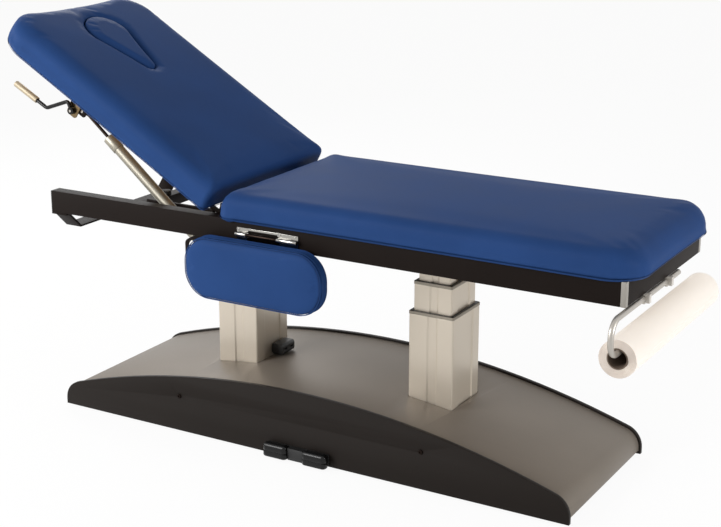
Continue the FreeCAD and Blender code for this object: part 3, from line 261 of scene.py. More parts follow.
@finish
def blue_vinyl(paint, tint):
    cloud = paint.noise(5, 4)
    grain = paint.cells(620)
    fine = paint.noise(1500, 2)
    base = tuple(tint.vinyl)
    worn = paint.blend(paint.spread(cloud, 0.35, 0.7, 0, 1), shade(base, 0.94), shade(base, 1.07))
    paint.set(Base_Color=paint.blend(paint.spread(grain, 0.0, 0.5, 0.25, 0), worn, shade(base, 0.8)),
              Roughness=paint.spread(cloud + fine * 0.3, 0.4, 0.9, 0.42, 0.50), Specular_IOR_Level=0.02)
    paint.bump(grain * 0.7 + fine * 0.3, 0.00025, 0.5)


@finish
def seam_thread(paint, tint):
    twist = paint.noise(2600, 2)
    base = tuple(tint.thread)
    paint.set(Base_Color=paint.blend(twist, shade(base, 0.8), shade(base, 1.25)), Roughness=0.75)
    paint.bump(twist, 0.0002, 0.6)


def powder(paint, base, scale, roughness, gleam=0.12):
    """A satin powder coat: orange peel, a few paler grains and a little unevenness in the gloss."""
    peel, grain, cloud = paint.noise(scale, 2), paint.noise(scale * 3.5, 2), paint.noise(4, 3)
    mottled = paint.blend(paint.spread(cloud, 0.3, 0.7, 0, 1), shade(base, 0.95), shade(base, 1.05))
    paint.set(Base_Color=paint.blend(paint.spread(grain, 0.56, 0.72, 0, 0.25), mottled, shade(base, 1.3)),
              Roughness=paint.spread(peel, 0.3, 0.7, roughness - 0.05, roughness + 0.06),
              Specular_IOR_Level=gleam)
    paint.bump(peel * 0.6 + grain * 0.4, 0.00012, 0.35)


@finish
def black_powder(paint, tint):
    powder(paint, tuple(tint.black), 700, 0.5, 0.06)


@finish
def panel_powder(paint, tint):
    powder(paint, tuple(tint.panel), 520, 0.5)


@finish
def cover_powder(paint, tint):
    powder(paint, tuple(tint.cover), 800, 0.42)
    paint.set(Metallic=0.25)


@finish
def drawn_aluminium(paint, tint):
    die = paint.noise(1, 4, paint.stretched(1400, 1400, 2))
    broad = paint.noise(3, 2)
    base = tuple(tint.column)
    streak = paint.spread(die * 0.4 + broad * 0.6, 0.35, 0.65, 0, 1)
    paint.set(Base_Color=paint.blend(streak, shade(base, 0.975), shade(base, 1.02)), Metallic=0.5,
              Roughness=paint.spread(die, 0.3, 0.7, 0.30, 0.38))
    paint.bump(die, 0.00005, 0.25)


def moulded(paint, base, roughness, scale=900):
    """Moulded plastic with a spark-eroded skin."""
    skin, cloud = paint.noise(scale, 3), paint.noise(20, 3)
    paint.set(Base_Color=paint.blend(cloud, shade(base, 0.9), shade(base, 1.15)),
              Roughness=paint.spread(skin, 0.3, 0.7, roughness - 0.05, roughness + 0.07))
    paint.bump(skin, 0.0002, 0.35)


@finish
def collar_plastic(paint, tint):
    moulded(paint, tuple(tint.collar), 0.5)


@finish
def black_plastic(paint, tint):
    moulded(paint, tuple(tint.plastic), 0.48)


@finish
def glossy_plastic(paint, tint):
    moulded(paint, shade(tuple(tint.plastic), 0.7), 0.26, 300)
    paint.set(Coat_Weight=0.05, Specular_IOR_Level=0.25)


@finish
def black_rubber(paint, tint):
    moulded(paint, shade(tuple(tint.plastic), 0.8), 0.75, 500)


def metal(paint, base, roughness, across, depth=0.0001):
    """Polished or brushed metal with fine marks, stretched along one axis."""
    marks, smudge = paint.noise(1, 4, paint.stretched(*across)), paint.noise(14, 3)
    wear = marks * 0.6 + smudge * 0.4
    paint.set(Base_Color=paint.blend(marks, shade(base, 0.92), shade(base, 1.05)), Metallic=1.0,
              Roughness=paint.spread(wear, 0.3, 0.7, roughness - 0.05, roughness + 0.08))
    paint.bump(marks, depth, 0.3)


@finish
def bright_chrome(paint, tint):
    metal(paint, tuple(tint.chrome), 0.12, (40, 300, 300))


@finish
def turned_steel(paint, tint):
    metal(paint, tuple(tint.silver), 0.3, (900, 60, 900))


@finish
def satin_rod(paint, tint):
    metal(paint, tuple(tint.silver), 0.36, (700, 30, 700))
    paint.set(Metallic=0.75)


@finish
def strut_silver(paint, tint):
    metal(paint, tuple(tint.strut), 0.38, (120, 120, 120), 0.00003)
    paint.set(Metallic=0.7)


@finish
def blackened_steel(paint, tint):
    metal(paint, shade(tuple(tint.black), 1.6), 0.28, (300, 300, 300))


@finish
def plated_brass(paint, tint):
    metal(paint, tuple(tint.brass), 0.3, (200, 200, 200))


@finish
def grip_metal(paint, tint):
    metal(paint, tuple(tint.grip), 0.5, (60, 60, 60), 0.00002)
    paint.set(Metallic=0.5)


@finish
def clip_plastic(paint, tint):
    moulded(paint, tuple(tint.clip), 0.4)


@finish
def post_silver(paint, tint):
    powder(paint, shade(tuple(tint.silver), 0.7), 700, 0.4)
    paint.set(Metallic=0.3)


@finish
def crepe_paper(paint, tint):
    crepe = paint.noise(1, 3, paint.stretched(500, 90, 500))
    cloud = paint.noise(9, 3)
    base = tuple(tint.paper)
    low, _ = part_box("paper_roll")
    across = paint.add("ShaderNodeSeparateXYZ", {}, paint.place, output="Y")
    full, none = 2 * MM, 4 * MM
    edge = paint.spread(across, low.y + full, low.y + none, 1, 0)
    sheet = paint.blend(crepe * 0.6 + cloud * 0.4, shade(base, 0.95), shade(base, 1.05))
    # The sheet is given a painted glow through its emission, so that it shows brighter than the lamps make
    # it; on the roll's end the glow takes half the paper's colour.
    paint.set(Base_Color=paint.blend(edge, sheet, tuple(tint.paper_end)), Roughness=0.9,
              Emission_Color=paint.blend(edge, base, shade(base, 0.5)), Emission_Strength=0.20,
              Subsurface_Weight=0.8, Subsurface_Radius=(1, 0.95, 0.9), Subsurface_Scale=0.04)
    paint.bump(crepe, 0.0004, 0.4)


@finish
def grey_card(paint, tint):
    fibre = paint.noise(1, 4, paint.stretched(400, 60, 400))
    base = tuple(tint.card)
    paint.set(Base_Color=paint.blend(fibre, shade(base, 0.85), shade(base, 1.1)), Roughness=0.85)
    paint.bump(fibre, 0.0003, 0.5)


@finish
def birch_ply(paint, tint):
    figure = paint.noise(1, 5, paint.stretched(3, 60, 60))
    pores = paint.noise(1, 3, paint.stretched(40, 900, 900))
    base = tuple(tint.wood)
    paint.set(Base_Color=paint.blend(figure * 0.7 + pores * 0.3, shade(base, 0.8), shade(base, 1.15)),
              Roughness=paint.spread(figure, 0.3, 0.7, 0.6, 0.75))
    paint.bump(pores, 0.0003, 0.4)


# Mesh tools

def flat(mesh, angle=HARD_EDGE):
    """A mesh with smooth shading broken at its hard edges."""
    for face in mesh.polygons:
        face.use_smooth = True
    mesh.set_sharp_from_angle(angle=math.radians(angle))
    return mesh


def helper(name, data):
    """A new object in the scene, at the origin."""
    made = bpy.data.objects.new(name, data)
    bpy.context.scene.collection.objects.link(made)
    return made


def painted(mesh, material):
    """A mesh with one finish and no other."""
    mesh.materials.clear()
    mesh.materials.append(material)
    return mesh


def piece(name, mesh, material):
    """A new object at the origin with its place in its mesh."""
    return helper(name, painted(mesh, material))


def settled(host):
    """Applies a helper object's modifiers and returns its plain mesh; the helper is removed."""
    bpy.context.view_layer.update()
    mesh = bpy.data.meshes.new_from_object(host.evaluated_get(bpy.context.evaluated_depsgraph_get()))
    old = host.data
    bpy.data.objects.remove(host)
    if isinstance(old, bpy.types.Mesh):
        bpy.data.meshes.remove(old)
    else:
        bpy.data.curves.remove(old)
    return mesh


def attach(made, body, slot, *nodes):
    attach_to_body(made, body)
    if nodes:
        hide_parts(*nodes)
    return made


def body_of(node):
    return NODES[node]["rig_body"]


def slot_of(node):
    return next(row["material_slot"] for row in frame["record"]["subparts"] if row["node"] == node)


def meshed(made, name):
    """Turns a bmesh into a mesh and frees it."""
    mesh = bpy.data.meshes.new(name)
    made.to_mesh(mesh)
    made.free()
    return mesh


def shell(rings, close=False):
    """A mesh through rings of points: capped at both ends, or closed round into a tube."""
    made = bmesh.new()
    rows = [[made.verts.new(p) for p in ring] for ring in rings]
    pairs = list(zip(rows, rows[1:])) + ([(rows[-1], rows[0])] if close else [])
    for low, high in pairs:
        for i in range(len(low)):
            j = (i + 1) % len(low)
            made.faces.new((low[i], low[j], high[j], high[i]))
    if not close:
        made.faces.new(rows[0][::-1])
        made.faces.new(rows[-1])
    bmesh.ops.recalc_face_normals(made, faces=made.faces)
    return meshed(made, "shell")


def cut(mesh, rings):
    """A mesh with the room between rings of points taken out of it."""
    host, cutter = helper("cut", mesh), helper("cutter", shell(rings))
    hole = host.modifiers.new("hole", "BOOLEAN")
    hole.operation, hole.object, hole.solver = "DIFFERENCE", cutter, "EXACT"
    made = settled(host)
    bpy.data.objects.remove(cutter)
    return made


def softened(node, width, material, segments=2, angle=HARD_EDGE, slot=None):
    """A copy of a rigid node with its hard edges rounded, standing for it."""
    weld, flatness = 0.01 * MM, math.radians(0.5)
    made = bmesh.new()
    made.from_mesh(NODES[node].data)
    bmesh.ops.remove_doubles(made, verts=made.verts, dist=weld)
    bmesh.ops.dissolve_limit(made, angle_limit=flatness, verts=made.verts, edges=made.edges)
    mesh = meshed(made, node)
    if mesh.has_custom_normals:
        mesh.attributes.remove(mesh.attributes["custom_normal"])
    host = helper(node, mesh)
    bevel = host.modifiers.new("round", "BEVEL")
    bevel.width, bevel.segments = width, segments
    bevel.limit_method, bevel.angle_limit = "ANGLE", math.radians(ROUNDED_EDGE)
    bevel.use_clamp_overlap, bevel.harden_normals = True, False
    made = piece(node + "_dressed", flat(settled(host), angle), material)
    return attach(made, body_of(node), slot or slot_of(node), node)


def placed(mesh, place):
    mesh.transform(place)
    return mesh


def local_box(node, place):
    """A node's lowest and highest corners in another frame."""
    points = [place @ v.co for v in NODES[node].data.vertices]
    return [Vector(f(p[i] for p in points) for i in range(3)) for f in (min, max)]


# Outlines and profiles

def outline(low, high, half, corners, draws, inset, steps=14, far_share=1):
    """Points round a cushion: round corners, and sides that pull in between them."""
    x0, x1, y = low + inset, high - inset * far_share, half - inset
    r0, r1 = (max(r - inset, r * 0.2) for r in corners)
    d0, d1, ds = draws
    corner_list = [((x0 + r0, -y + r0), r0, 180), ((x1 - r1, -y + r1), r1, 270),
                   ((x1 - r1, y - r1), r1, 0), ((x0 + r0, y - r0), r0, 90)]
    inward = [(0, ds), (-d1, 0), (0, -ds), (d0, 0)]
    points = []
    for index, ((cx, cy), r, start) in enumerate(corner_list):
        arc = [Vector((cx + r * math.cos(math.radians(start + 90 * k / steps)),
                       cy + r * math.sin(math.radians(start + 90 * k / steps)))) for k in range(steps + 1)]
        points += arc
        (nx, ny), nr, nstart = corner_list[(index + 1) % len(corner_list)]
        goal = Vector((nx + nr * math.cos(math.radians(nstart)), ny + nr * math.sin(math.radians(nstart))))
        count = 4 * steps
        for k in range(1, count):
            t = k / count
            points.append(arc[-1].lerp(goal, t) + Vector(inward[index]) * (1 - (2 * t - 1) ** 2))
    return points


def rounding(radius, start, steps=6, inset=0):
    """Insets and heights up a quarter round that starts at a height."""
    angles = [math.radians(90 / steps * k) for k in range(steps + 1)]
    return [(inset + radius * (1 - math.cos(t)), start + radius * math.sin(t)) for t in angles]


def edge_profile(thick, edge, crown, tuck, half):
    """Insets and heights from the tuck under a cushion's edge up to its crown."""
    steps = [(tuck, 0), (tuck * 0.45, 0.07 * thick), (tuck * 0.12, 0.15 * thick), (0, 0.25 * thick)]
    steps += rounding(edge, thick - edge, 9)
    for k in range(1, 8):
        t = k / 7
        steps.append((edge + 0.9 * t * (half - edge), thick + crown * (1 - (1 - t) ** 2)))
    return steps


def round_end(x, radius, start, sweep, steps):
    """Points round a circle on the X axis."""
    angles = (start + sweep * k / steps for k in range(steps + 1))
    return [Vector((x + radius * math.cos(t), radius * math.sin(t))) for t in angles]


def teardrop(large, small, far, near, inset):
    """Points round the face hole: its small round end at near, then its large one at far."""
    big, little = large - inset, small - inset
    a, b = far + large, near - small
    lean, steps = math.asin((big - little) / (b - a)), 20
    return (round_end(b, little, lean - math.pi / 2, math.pi - 2 * lean, steps)
            + round_end(a, big, math.pi / 2 - lean, math.pi + 2 * lean, 3 * steps))


def near_loop(co, loop):
    """Distance in plan from a point to a closed outline's points."""
    return min(math.hypot(co.x - p.x, co.y - p.y) for p in loop)


def on_board(u, v, low, high, corner):
    """Whether a point in plan lies on a board with round corners, a little in from its edge."""
    margin = 2 * MM
    over = [max(0, abs(at - (a + b) / 2) - (b - a) / 2 + corner) for at, a, b in zip((u, v), low, high)]
    return math.hypot(*over) < corner - margin


# Cloth covers

# Shares of a long cushion's thickness: below the first its cover is held while it swells and keeps its
# full width, and below the second it keeps its full height.
HELD, RAISED = 0.2, 0.3


def cushion_rings(ring, base, thick, half):
    """A long cushion's rings, from tuck to crown, drawn in by half of what the cloth may swell."""
    size = sizes()
    shrink = size.swell * 0.5
    return [[Vector((p.x, p.y, base + h - (shrink if h > RAISED * thick else 0)))
             for p in ring(inset + (shrink if h > HELD * thick else 0))]
            for inset, h in edge_profile(thick, size.edge, size.crown, size.tuck, half)]


def remeshed(mesh, voxel, smooth=4):
    """A cover's mesh made even, as cloth needs it, and eased."""
    host = helper("cover", mesh)
    grid = host.modifiers.new("grid", "REMESH")
    grid.mode, grid.voxel_size, grid.use_smooth_shade = "VOXEL", voxel, True
    ease = host.modifiers.new("ease", "SMOOTH")
    ease.factor, ease.iterations = 0.5, smooth
    return settled(host)


def inflated(mesh, pinned, cap):
    """Swells a cover under pressure with cloth, holding the pinned points and capping every move."""
    host = helper("cover", mesh)
    hold = host.vertex_groups.new(name="hold")
    start = [v.co.copy() for v in mesh.vertices]
    hold.add([i for i, co in enumerate(start) if pinned(co)], 1.0, "REPLACE")
    cloth = host.modifiers.new("cloth", "CLOTH")
    vinyl, last = cloth.settings, 20
    vinyl.quality = 4
    vinyl.mass = 0.25
    vinyl.tension_stiffness = vinyl.compression_stiffness = 20
    vinyl.bending_stiffness = 2
    vinyl.use_pressure = True
    vinyl.uniform_pressure_force = 4
    vinyl.vertex_group_mass = "hold"
    vinyl.effector_weights.gravity = 0
    cloth.point_cache.frame_start, cloth.point_cache.frame_end = 1, last
    for moment in range(1, last + 1):
        bpy.context.scene.frame_set(moment)
    bpy.context.view_layer.update()
    moved = [v.co.copy() for v in host.evaluated_get(bpy.context.evaluated_depsgraph_get()).data.vertices]
    host.modifiers.remove(cloth)
    bpy.context.scene.frame_set(1)
    for vertex, old, new in zip(mesh.vertices, start, moved):
        step = new - old
        if step.length > cap:
            step *= cap / step.length
        vertex.co = old + step
    bpy.data.objects.remove(host)
    return mesh


def smoothed(mesh, iterations=2):
    """A cover eased and divided once, for an even skin."""
    host = helper("cover", mesh)
    ease = host.modifiers.new("ease", "SMOOTH")
    ease.factor, ease.iterations = 0.5, iterations
    fine = host.modifiers.new("fine", "SUBSURF")
    fine.levels = fine.render_levels = 1
    made = settled(host)
    for face in made.polygons:
        face.use_smooth = True
    return made


def draw_in(mesh, base, low, high):
    """Draws a cover's underside into the board that closes it, so that the board shows from below."""
    skin, lift, corner = 5 * MM, 7 * MM, 60 * MM
    for vertex in mesh.vertices:
        if vertex.co.z < base + skin and on_board(vertex.co.x, vertex.co.y, low.xy, high.xy, corner):
            vertex.co.z = base + lift


def nosed(co, base, start, reach):
    """Rounds a cushion's end down to its hem: reach is the rounding, with the sign of its way along X."""
    kept, rounded = 0.36, 0.64
    share = (co.x - start) / reach
    if share > 0:
        co.z = base + (co.z - base) * (kept + rounded * math.sqrt(max(0, 1 - share * share)))


def curl_corner(co, centre, rail_side, base):
    """Draws the cover down over the rail's side at the hinge corners, as a small lip."""
    gap, reach, height, lip, ease = 2 * MM, 34 * MM, 22 * MM, 9 * MM, 6 * MM
    out = abs(co.y) - rail_side - gap
    near = 1 - min(1, abs(co.x - centre) / reach)
    if out > 0 and near > 0 and co.z < base + height:
        share = near * near * (3 - 2 * near) * (1 - max(0, co.z - base) / height)
        co.z -= lip * share * min(1, out / ease)


def hem_band(ring, base):
    """A folded hem: a thin rounded band along a long cushion's lower edge."""
    size, thick = sizes(), 0.7 * MM
    section = [(0, 0.0), (0, 1.0), (-0.5, 1.06), (-1.0, 0.95), (-1.3, 0.6), (-1.2, 0.25), (-0.8, 0.0)]
    return shell([[Vector((p.x, p.y, base + share * size.hem))
                   for p in ring(size.tuck * (1 - 0.6 * share) + side * thick)]
                  for side, share in section], close=True)


# Seams, stitches and screws

def laying_tree(name, inputs, finish_input):
    """A tree that lays instances on points, makes them real and gives them the material of an input."""
    tree = bpy.data.node_groups.new(name, "GeometryNodeTree")
    for label, kind in (("Geometry", "Geometry"), *inputs, (finish_input, "Material")):
        tree.interface.new_socket(label, in_out="INPUT", socket_type="NodeSocket" + kind)
    tree.interface.new_socket("Geometry", in_out="OUTPUT", socket_type="NodeSocketGeometry")
    new, link = tree.nodes.new, tree.links.new
    given, result = new("NodeGroupInput"), new("NodeGroupOutput")
    aim = new("FunctionNodeAlignRotationToVector")
    aim.axis = "Z"
    lay, real, paint = (new("GeometryNode" + kind)
                        for kind in ("InstanceOnPoints", "RealizeInstances", "SetMaterial"))
    link(aim.outputs[0], lay.inputs["Rotation"])
    link(lay.outputs[0], real.inputs[0])
    link(real.outputs[0], paint.inputs["Geometry"])
    link(given.outputs[finish_input], paint.inputs["Material"])
    link(paint.outputs[0], result.inputs[0])
    return tree, given, aim, lay


def stitch_tree():
    """Geometry nodes that lay short stitches along a curve."""
    lengths = [(name, "Float") for name in ("Pitch", "Length", "Thickness")]
    tree, given, aim, lay = laying_tree("stitches", lengths, "Thread")
    link = tree.links.new
    spaced, thread, along = (tree.nodes.new("GeometryNode" + kind)
                             for kind in ("ResampleCurve", "MeshCylinder", "InputTangent"))
    spaced.mode = "LENGTH"
    thread.inputs["Vertices"].default_value = 6
    link(given.outputs["Geometry"], spaced.inputs["Curve"])
    link(given.outputs["Pitch"], spaced.inputs["Length"])
    link(given.outputs["Length"], thread.inputs["Depth"])
    link(given.outputs["Thickness"], thread.inputs["Radius"])
    link(along.outputs[0], aim.inputs["Vector"])
    link(spaced.outputs[0], lay.inputs["Points"])
    link(thread.outputs["Mesh"], lay.inputs["Instance"])
    return tree


def fastener_tree():
    """Geometry nodes that set one fastener on each of a mesh's points, turned along an axis."""
    tree, given, aim, lay = laying_tree("fasteners", (("Pattern", "Object"), ("Axis", "Vector")), "Metal")
    link = tree.links.new
    pattern = tree.nodes.new("GeometryNodeObjectInfo")
    link(given.outputs["Pattern"], pattern.inputs["Object"])
    link(given.outputs["Axis"], aim.inputs["Vector"])
    link(given.outputs["Geometry"], lay.inputs["Points"])
    link(pattern.outputs["Geometry"], lay.inputs["Instance"])
    return tree


def run_tree(host, name, build, **inputs):
    """Gives an object a modifier with a named tree, built when first needed, and sets the tree's inputs."""
    rows = host.modifiers.new(name, "NODES")
    rows.node_group = bpy.data.node_groups.get(name) or build()
    for socket in rows.node_group.interface.items_tree:
        if socket.item_type == "SOCKET" and socket.in_out == "INPUT" and socket.name in inputs:
            rows[socket.identifier] = inputs[socket.name]


def socket_head(radius, height):
    """A low round screw head with a hexagon socket, standing on the origin along Z."""
    sides, sunk, edge = 36, 0.2 * MM, 0.3 * height
    turn, across = 2 * math.pi / sides, 0.5 * radius

    def ring(reach, z, hexagon=False):
        points = []
        for k in range(sides):
            angle = k * turn
            r = reach
            if hexagon:
                r = reach * math.cos(math.pi / 6) / math.cos(angle % (math.pi / 3) - math.pi / 6)
            points.append(Vector((r * math.cos(angle), r * math.sin(angle), z)))
        return points

    return shell([ring(radius, -sunk), ring(radius, height - edge),
                  ring(radius - 0.3 * edge, height - 0.3 * edge), ring(radius - edge, height),
                  ring(across, height, True), ring(across, 0.3 * height, True)])


def fasteners(name, places, axis, radius, height, body, slot, material, *nodes):
    """Screw heads at places, facing along an axis."""
    pattern = helper("pattern", socket_head(radius, height))
    mesh = bpy.data.meshes.new(name)
    mesh.from_pydata(places, [], [])
    host = helper(name, mesh)
    run_tree(host, "fasteners", fastener_tree, Pattern=pattern, Axis=axis, Metal=material)
    attach(piece(name, flat(settled(host)), material), body, slot, *nodes)
    bpy.data.objects.remove(pattern)


def path_curve(name, points):
    line = bpy.data.curves.new(name, "CURVE")
    line.dimensions = "3D"
    spline = line.splines.new("POLY")
    spline.points.add(len(points) - 1)
    for knot, p in zip(spline.points, points):
        knot.co = (*p, 1)
    spline.use_cyclic_u = True
    return helper(name, line)


def stitches(name, points, body):
    """A row of stitches along a closed path."""
    host, pitch = path_curve(name, points), sizes().stitch
    run_tree(host, "stitches", stitch_tree, Pitch=pitch, Length=pitch * 0.66, Thickness=0.45 * MM,
             Thread=seam_thread())
    attach(piece(name, flat(settled(host)), seam_thread()), body, "upholstery")


def cord_along(name, points, radius, body, material):
    """A thin sewn cord along a closed path."""
    host = path_curve(name, points)
    host.data.bevel_depth, host.data.bevel_resolution = radius, 2
    attach(piece(name, flat(settled(host)), material), body, "upholstery")


# Operators

class TABLE_OT_seat(bpy.types.Operator):
    """Upholster the seat section"""
    bl_idname = "table.seat"
    bl_label = "Seat cushion"

    def execute(self, context):
        size = sizes()
        low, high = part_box("seat_cushion")
        corners, draws = (size.small_corner, size.seat_corner), (size.side_draw,) * 3
        half, base, thick = high.y, low.z, high.z - low.z - size.crown

        def ring(inset):
            return outline(low.x, high.x, half, corners, draws, inset)

        mesh = remeshed(shell(cushion_rings(ring, base, thick, half)), size.voxel)
        mesh = smoothed(inflated(mesh, lambda co: co.z < base + HELD * thick, size.swell))
        draw_in(mesh, base, *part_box("seat_board"))
        for vertex in mesh.vertices:
            nosed(vertex.co, base, low.x + size.hinge_nose, -size.hinge_nose)
            nosed(vertex.co, base, high.x - size.foot_nose, size.foot_nose)
            curl_corner(vertex.co, low.x + size.small_corner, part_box("rail_far")[1].y, base)
        cushion = attach(piece("seat_cover", mesh, blue_vinyl()), "bed", "upholstery", "seat_cushion")
        attach(piece("seat_hem", flat(hem_band(ring, base)), blue_vinyl()), "bed", "upholstery")
        return {"FINISHED"}


class TABLE_OT_head(bpy.types.Operator):
    """Upholster the head section and its face plug"""
    bl_idname = "table.head"
    bl_label = "Head cushion and face plug"

    def execute(self, context):
        size = sizes()
        low, high = local_box("head_cushion", HEAD_FLAT)
        corners = (size.head_corner, size.flush_corner)
        draws = (size.head_dip, size.side_draw, size.side_draw)
        half, base, thick = high.y, low.z, high.z - low.z - size.crown
        plug_low, plug_high = local_box("face_plug", HEAD_FLAT)
        far, near = plug_low.x - size.plug_gap, plug_high.x + size.plug_gap
        rim_width, beyond = 9 * MM, 20 * MM

        def ring(inset):
            return outline(low.x, high.x, half, corners, draws, inset, far_share=0.45)

        def drop(inset):
            return teardrop(size.plug_large, size.plug_small, far, near, inset)

        rim = drop(0)

        def held(co):
            return co.z < base + HELD * thick or near_loop(co, rim) < rim_width

        hole = [[Vector((p.x, p.y, z)) for p in rim] for z in (base - beyond, high.z + beyond)]
        mesh = remeshed(cut(shell(cushion_rings(ring, base, thick, half)), hole), size.voxel * 0.72, 3)
        mesh = smoothed(inflated(mesh, held, size.swell), 3)
        draw_in(mesh, base, *local_box("head_board", HEAD_FLAT))
        cushion = attach(piece("head_cover", placed(mesh, HEAD_PLACE), blue_vinyl()), "head", "upholstery",
                         "head_cushion")
        hem = placed(hem_band(ring, base), HEAD_PLACE)
        attach(piece("head_hem", flat(hem), blue_vinyl()), "head", "upholstery")
        self.plug(plug_low, plug_high, drop)
        return {"FINISHED"}

    def plug(self, low, high, drop):
        """Upholsters the face plug, which is smaller than its hole by the gap."""
        size = sizes()
        deep, edge, crown, swell, voxel = high.z - low.z, 9 * MM, 3 * MM, 2 * MM, 3.5 * MM
        steps = [(5 * MM, 0), (1.5 * MM, 0.05 * deep), (0, 0.15 * deep), (0, 0.7 * deep)]
        steps += rounding(edge, deep - edge - crown)
        steps += [(edge + 4 * MM * k, deep - crown + MM * k) for k in (1, 2, 3)]
        inmost = size.plug_small * 0.8
        rings = [[Vector((p.x, p.y, low.z + h)) for p in drop(size.plug_gap + min(inset, inmost))]
                 for inset, h in steps]
        mesh = remeshed(shell(rings), voxel, 3)
        mesh = smoothed(inflated(mesh, lambda co: co.z < low.z + 0.6 * deep, swell))
        made = attach(piece("face_plug_cover", placed(mesh, HEAD_PLACE), blue_vinyl()), "plug", "upholstery",
                      "face_plug")


class TABLE_OT_arm_pad(bpy.types.Operator):
    """Upholster the arm pad and sew its seams"""
    bl_idname = "table.arm_pad"
    bl_label = "Arm pad"

    def execute(self, context):
        low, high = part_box("arm_pad_cushion")
        deep, half, mid = high.y - low.y, (high.z - low.z) / 2, (high.z + low.z) / 2
        edge, swell, crown, over = sizes().pad_edge, 2.5 * MM, 3 * MM, 2 * MM
        voxel, pinned, cord = 5 * MM, 8 * MM, 1.3 * MM

        def loop(inset, depth):
            ring = outline(low.x - over, high.x + over, half, (half * 0.88,) * 2, (0, 0, 0), inset, 16)
            return [Vector((p.x, high.y - depth, mid + p.y)) for p in ring]

        steps = [(4 * MM, 0), (1 * MM, 2 * MM), (0, 6 * MM), (swell, deep * 0.45), (0, deep - edge)]
        steps += rounding(edge, deep - edge - crown)[1:]
        steps += [(edge + 0.85 * (half - edge) * k / 4, deep - crown + crown * (1 - (1 - k / 4) ** 2))
                  for k in range(1, 5)]
        mesh = remeshed(shell([loop(inset, depth) for inset, depth in steps]), voxel, 3)
        mesh = smoothed(inflated(mesh, lambda co: co.y > high.y - pinned, swell), 1)
        self.show_board(mesh, high.y)
        pad = attach(piece("arm_pad_cover", mesh, blue_vinyl()), "arm_pad", "upholstery", "arm_pad_cushion")
        for name, inset, depth in (("arm_pad_front_seam", 2.0 * MM, deep - edge + 3 * MM),
                                   ("arm_pad_middle_seam", 0.2 * MM, deep - edge - 5 * MM),
                                   ("arm_pad_back_seam", 0.4 * MM, 8 * MM)):
            cord_along(name, loop(inset, depth), cord, "arm_pad", blue_vinyl())
        stitches("arm_pad_stitches", loop(5.2 * MM, deep - 6.2 * MM), "arm_pad")
        return {"FINISHED"}

    def show_board(self, mesh, back):
        """Draws the cover's back into the board that closes it."""
        skin, lift = 4 * MM, 6 * MM
        low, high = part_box("arm_pad_board")
        corner = (high.z - low.z) / 2
        for vertex in mesh.vertices:
            if vertex.co.y > back - skin and on_board(vertex.co.x, vertex.co.z, low.xz, high.xz, corner):
                vertex.co.y = back - lift


class TABLE_OT_paper(bpy.types.Operator):
    """Wind the paper roll on its core"""
    bl_idname = "table.paper"
    bl_label = "Paper roll"

    def execute(self, context):
        low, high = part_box("paper_roll")
        core = (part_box("paper_core")[1].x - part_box("paper_core")[0].x) / 2
        radius, centre = (high.x - low.x) / 2, (low + high) / 2
        turns, around, slack, gap, wave = 18, 56, 0.4 * MM, 0.35 * MM, 0.12 * MM
        inner, margin, rag = 0.05 * MM, 1 * MM, 0.7 * MM
        pitch = (radius - slack - core) / turns
        sheet = sizes().paper * pitch / (pitch + gap)

        def point(k, lift, y):
            angle = 2 * math.pi * k / around
            r = core + pitch * k / around + lift + wave * math.sin(5 * angle + k * 0.01)
            return Vector((centre.x + r * math.cos(angle), y, centre.z + r * math.sin(angle)))

        made = bmesh.new()
        strips = []
        for k in range(turns * around + 1):
            ragged = rag * noise.noise(Vector((k * 0.035, 1.7, 0.3)))
            near, far = low.y + margin + ragged, high.y - margin + ragged
            strips.append([made.verts.new(point(k, lift, y)) for lift, y in (
                (inner, near), (inner + sheet, near), (inner + sheet, far), (inner, far))])
        for a, b in zip(strips, strips[1:]):
            for i in range(4):
                j = (i + 1) % 4
                made.faces.new((a[i], b[i], b[j], a[j]))
        made.faces.new(strips[0])
        made.faces.new(strips[-1][::-1])
        bmesh.ops.recalc_face_normals(made, faces=made.faces)
        mesh = flat(meshed(made, "paper"))
        attach(piece("wound_paper", mesh, crepe_paper()), "roll", "paper", "paper_roll")
        softened("paper_core", 0.5 * MM, grey_card())
        return {"FINISHED"}


# Nodes that are shown with rounded edges: the kind of rounding and the finish.
RIGID = {
    "rail_near": ("rail", black_powder), "rail_far": ("rail", black_powder),
    "foot_rail": ("rail", black_powder), "side_panel_near": ("panel", panel_powder),
    "side_panel_far": ("panel", panel_powder), "arched_cover": ("plate", cover_powder),
    "columns_outer": ("fine", drawn_aluminium), "columns_middle": ("fine", drawn_aluminium),
    "columns_inner": ("fine", drawn_aluminium), "outer_collars": ("plate", collar_plastic),
    "middle_collars": ("plate", collar_plastic), "corner_posts": ("plate", post_silver),
    "rail_end_caps": ("plate", black_plastic), "head_cross_strap": ("plate", black_powder),
    "cross_member": ("rail", black_powder), "column_bearers": ("rail", black_powder),
    "hinge_ears": ("plate", black_powder), "head_hinge_arms": ("plate", black_powder),
    "strut_head_bracket": ("plate", black_powder), "strut_foot_bracket": ("plate", black_powder),
    "lever_bracket": ("plate", plated_brass), "lever_grip": ("grip", grip_metal),
    "arm_hinge_leaf": ("plate", blackened_steel), "charging_outlet": ("plate", black_plastic),
    "mains_inlet": ("plate", black_plastic), "control_box": ("rail", black_plastic),
    "pedal_bracket": ("plate", black_plastic), "rod_clips": ("plate", clip_plastic),
    "strut_collar": ("plate", strut_silver), "panel_posts": ("plate", black_powder),
    "base_frame": ("plate", black_powder), "levelling_feet": ("plate", black_rubber),
    "rest_pads": ("plate", black_rubber), "column_head_plates": ("plate", black_powder),
}
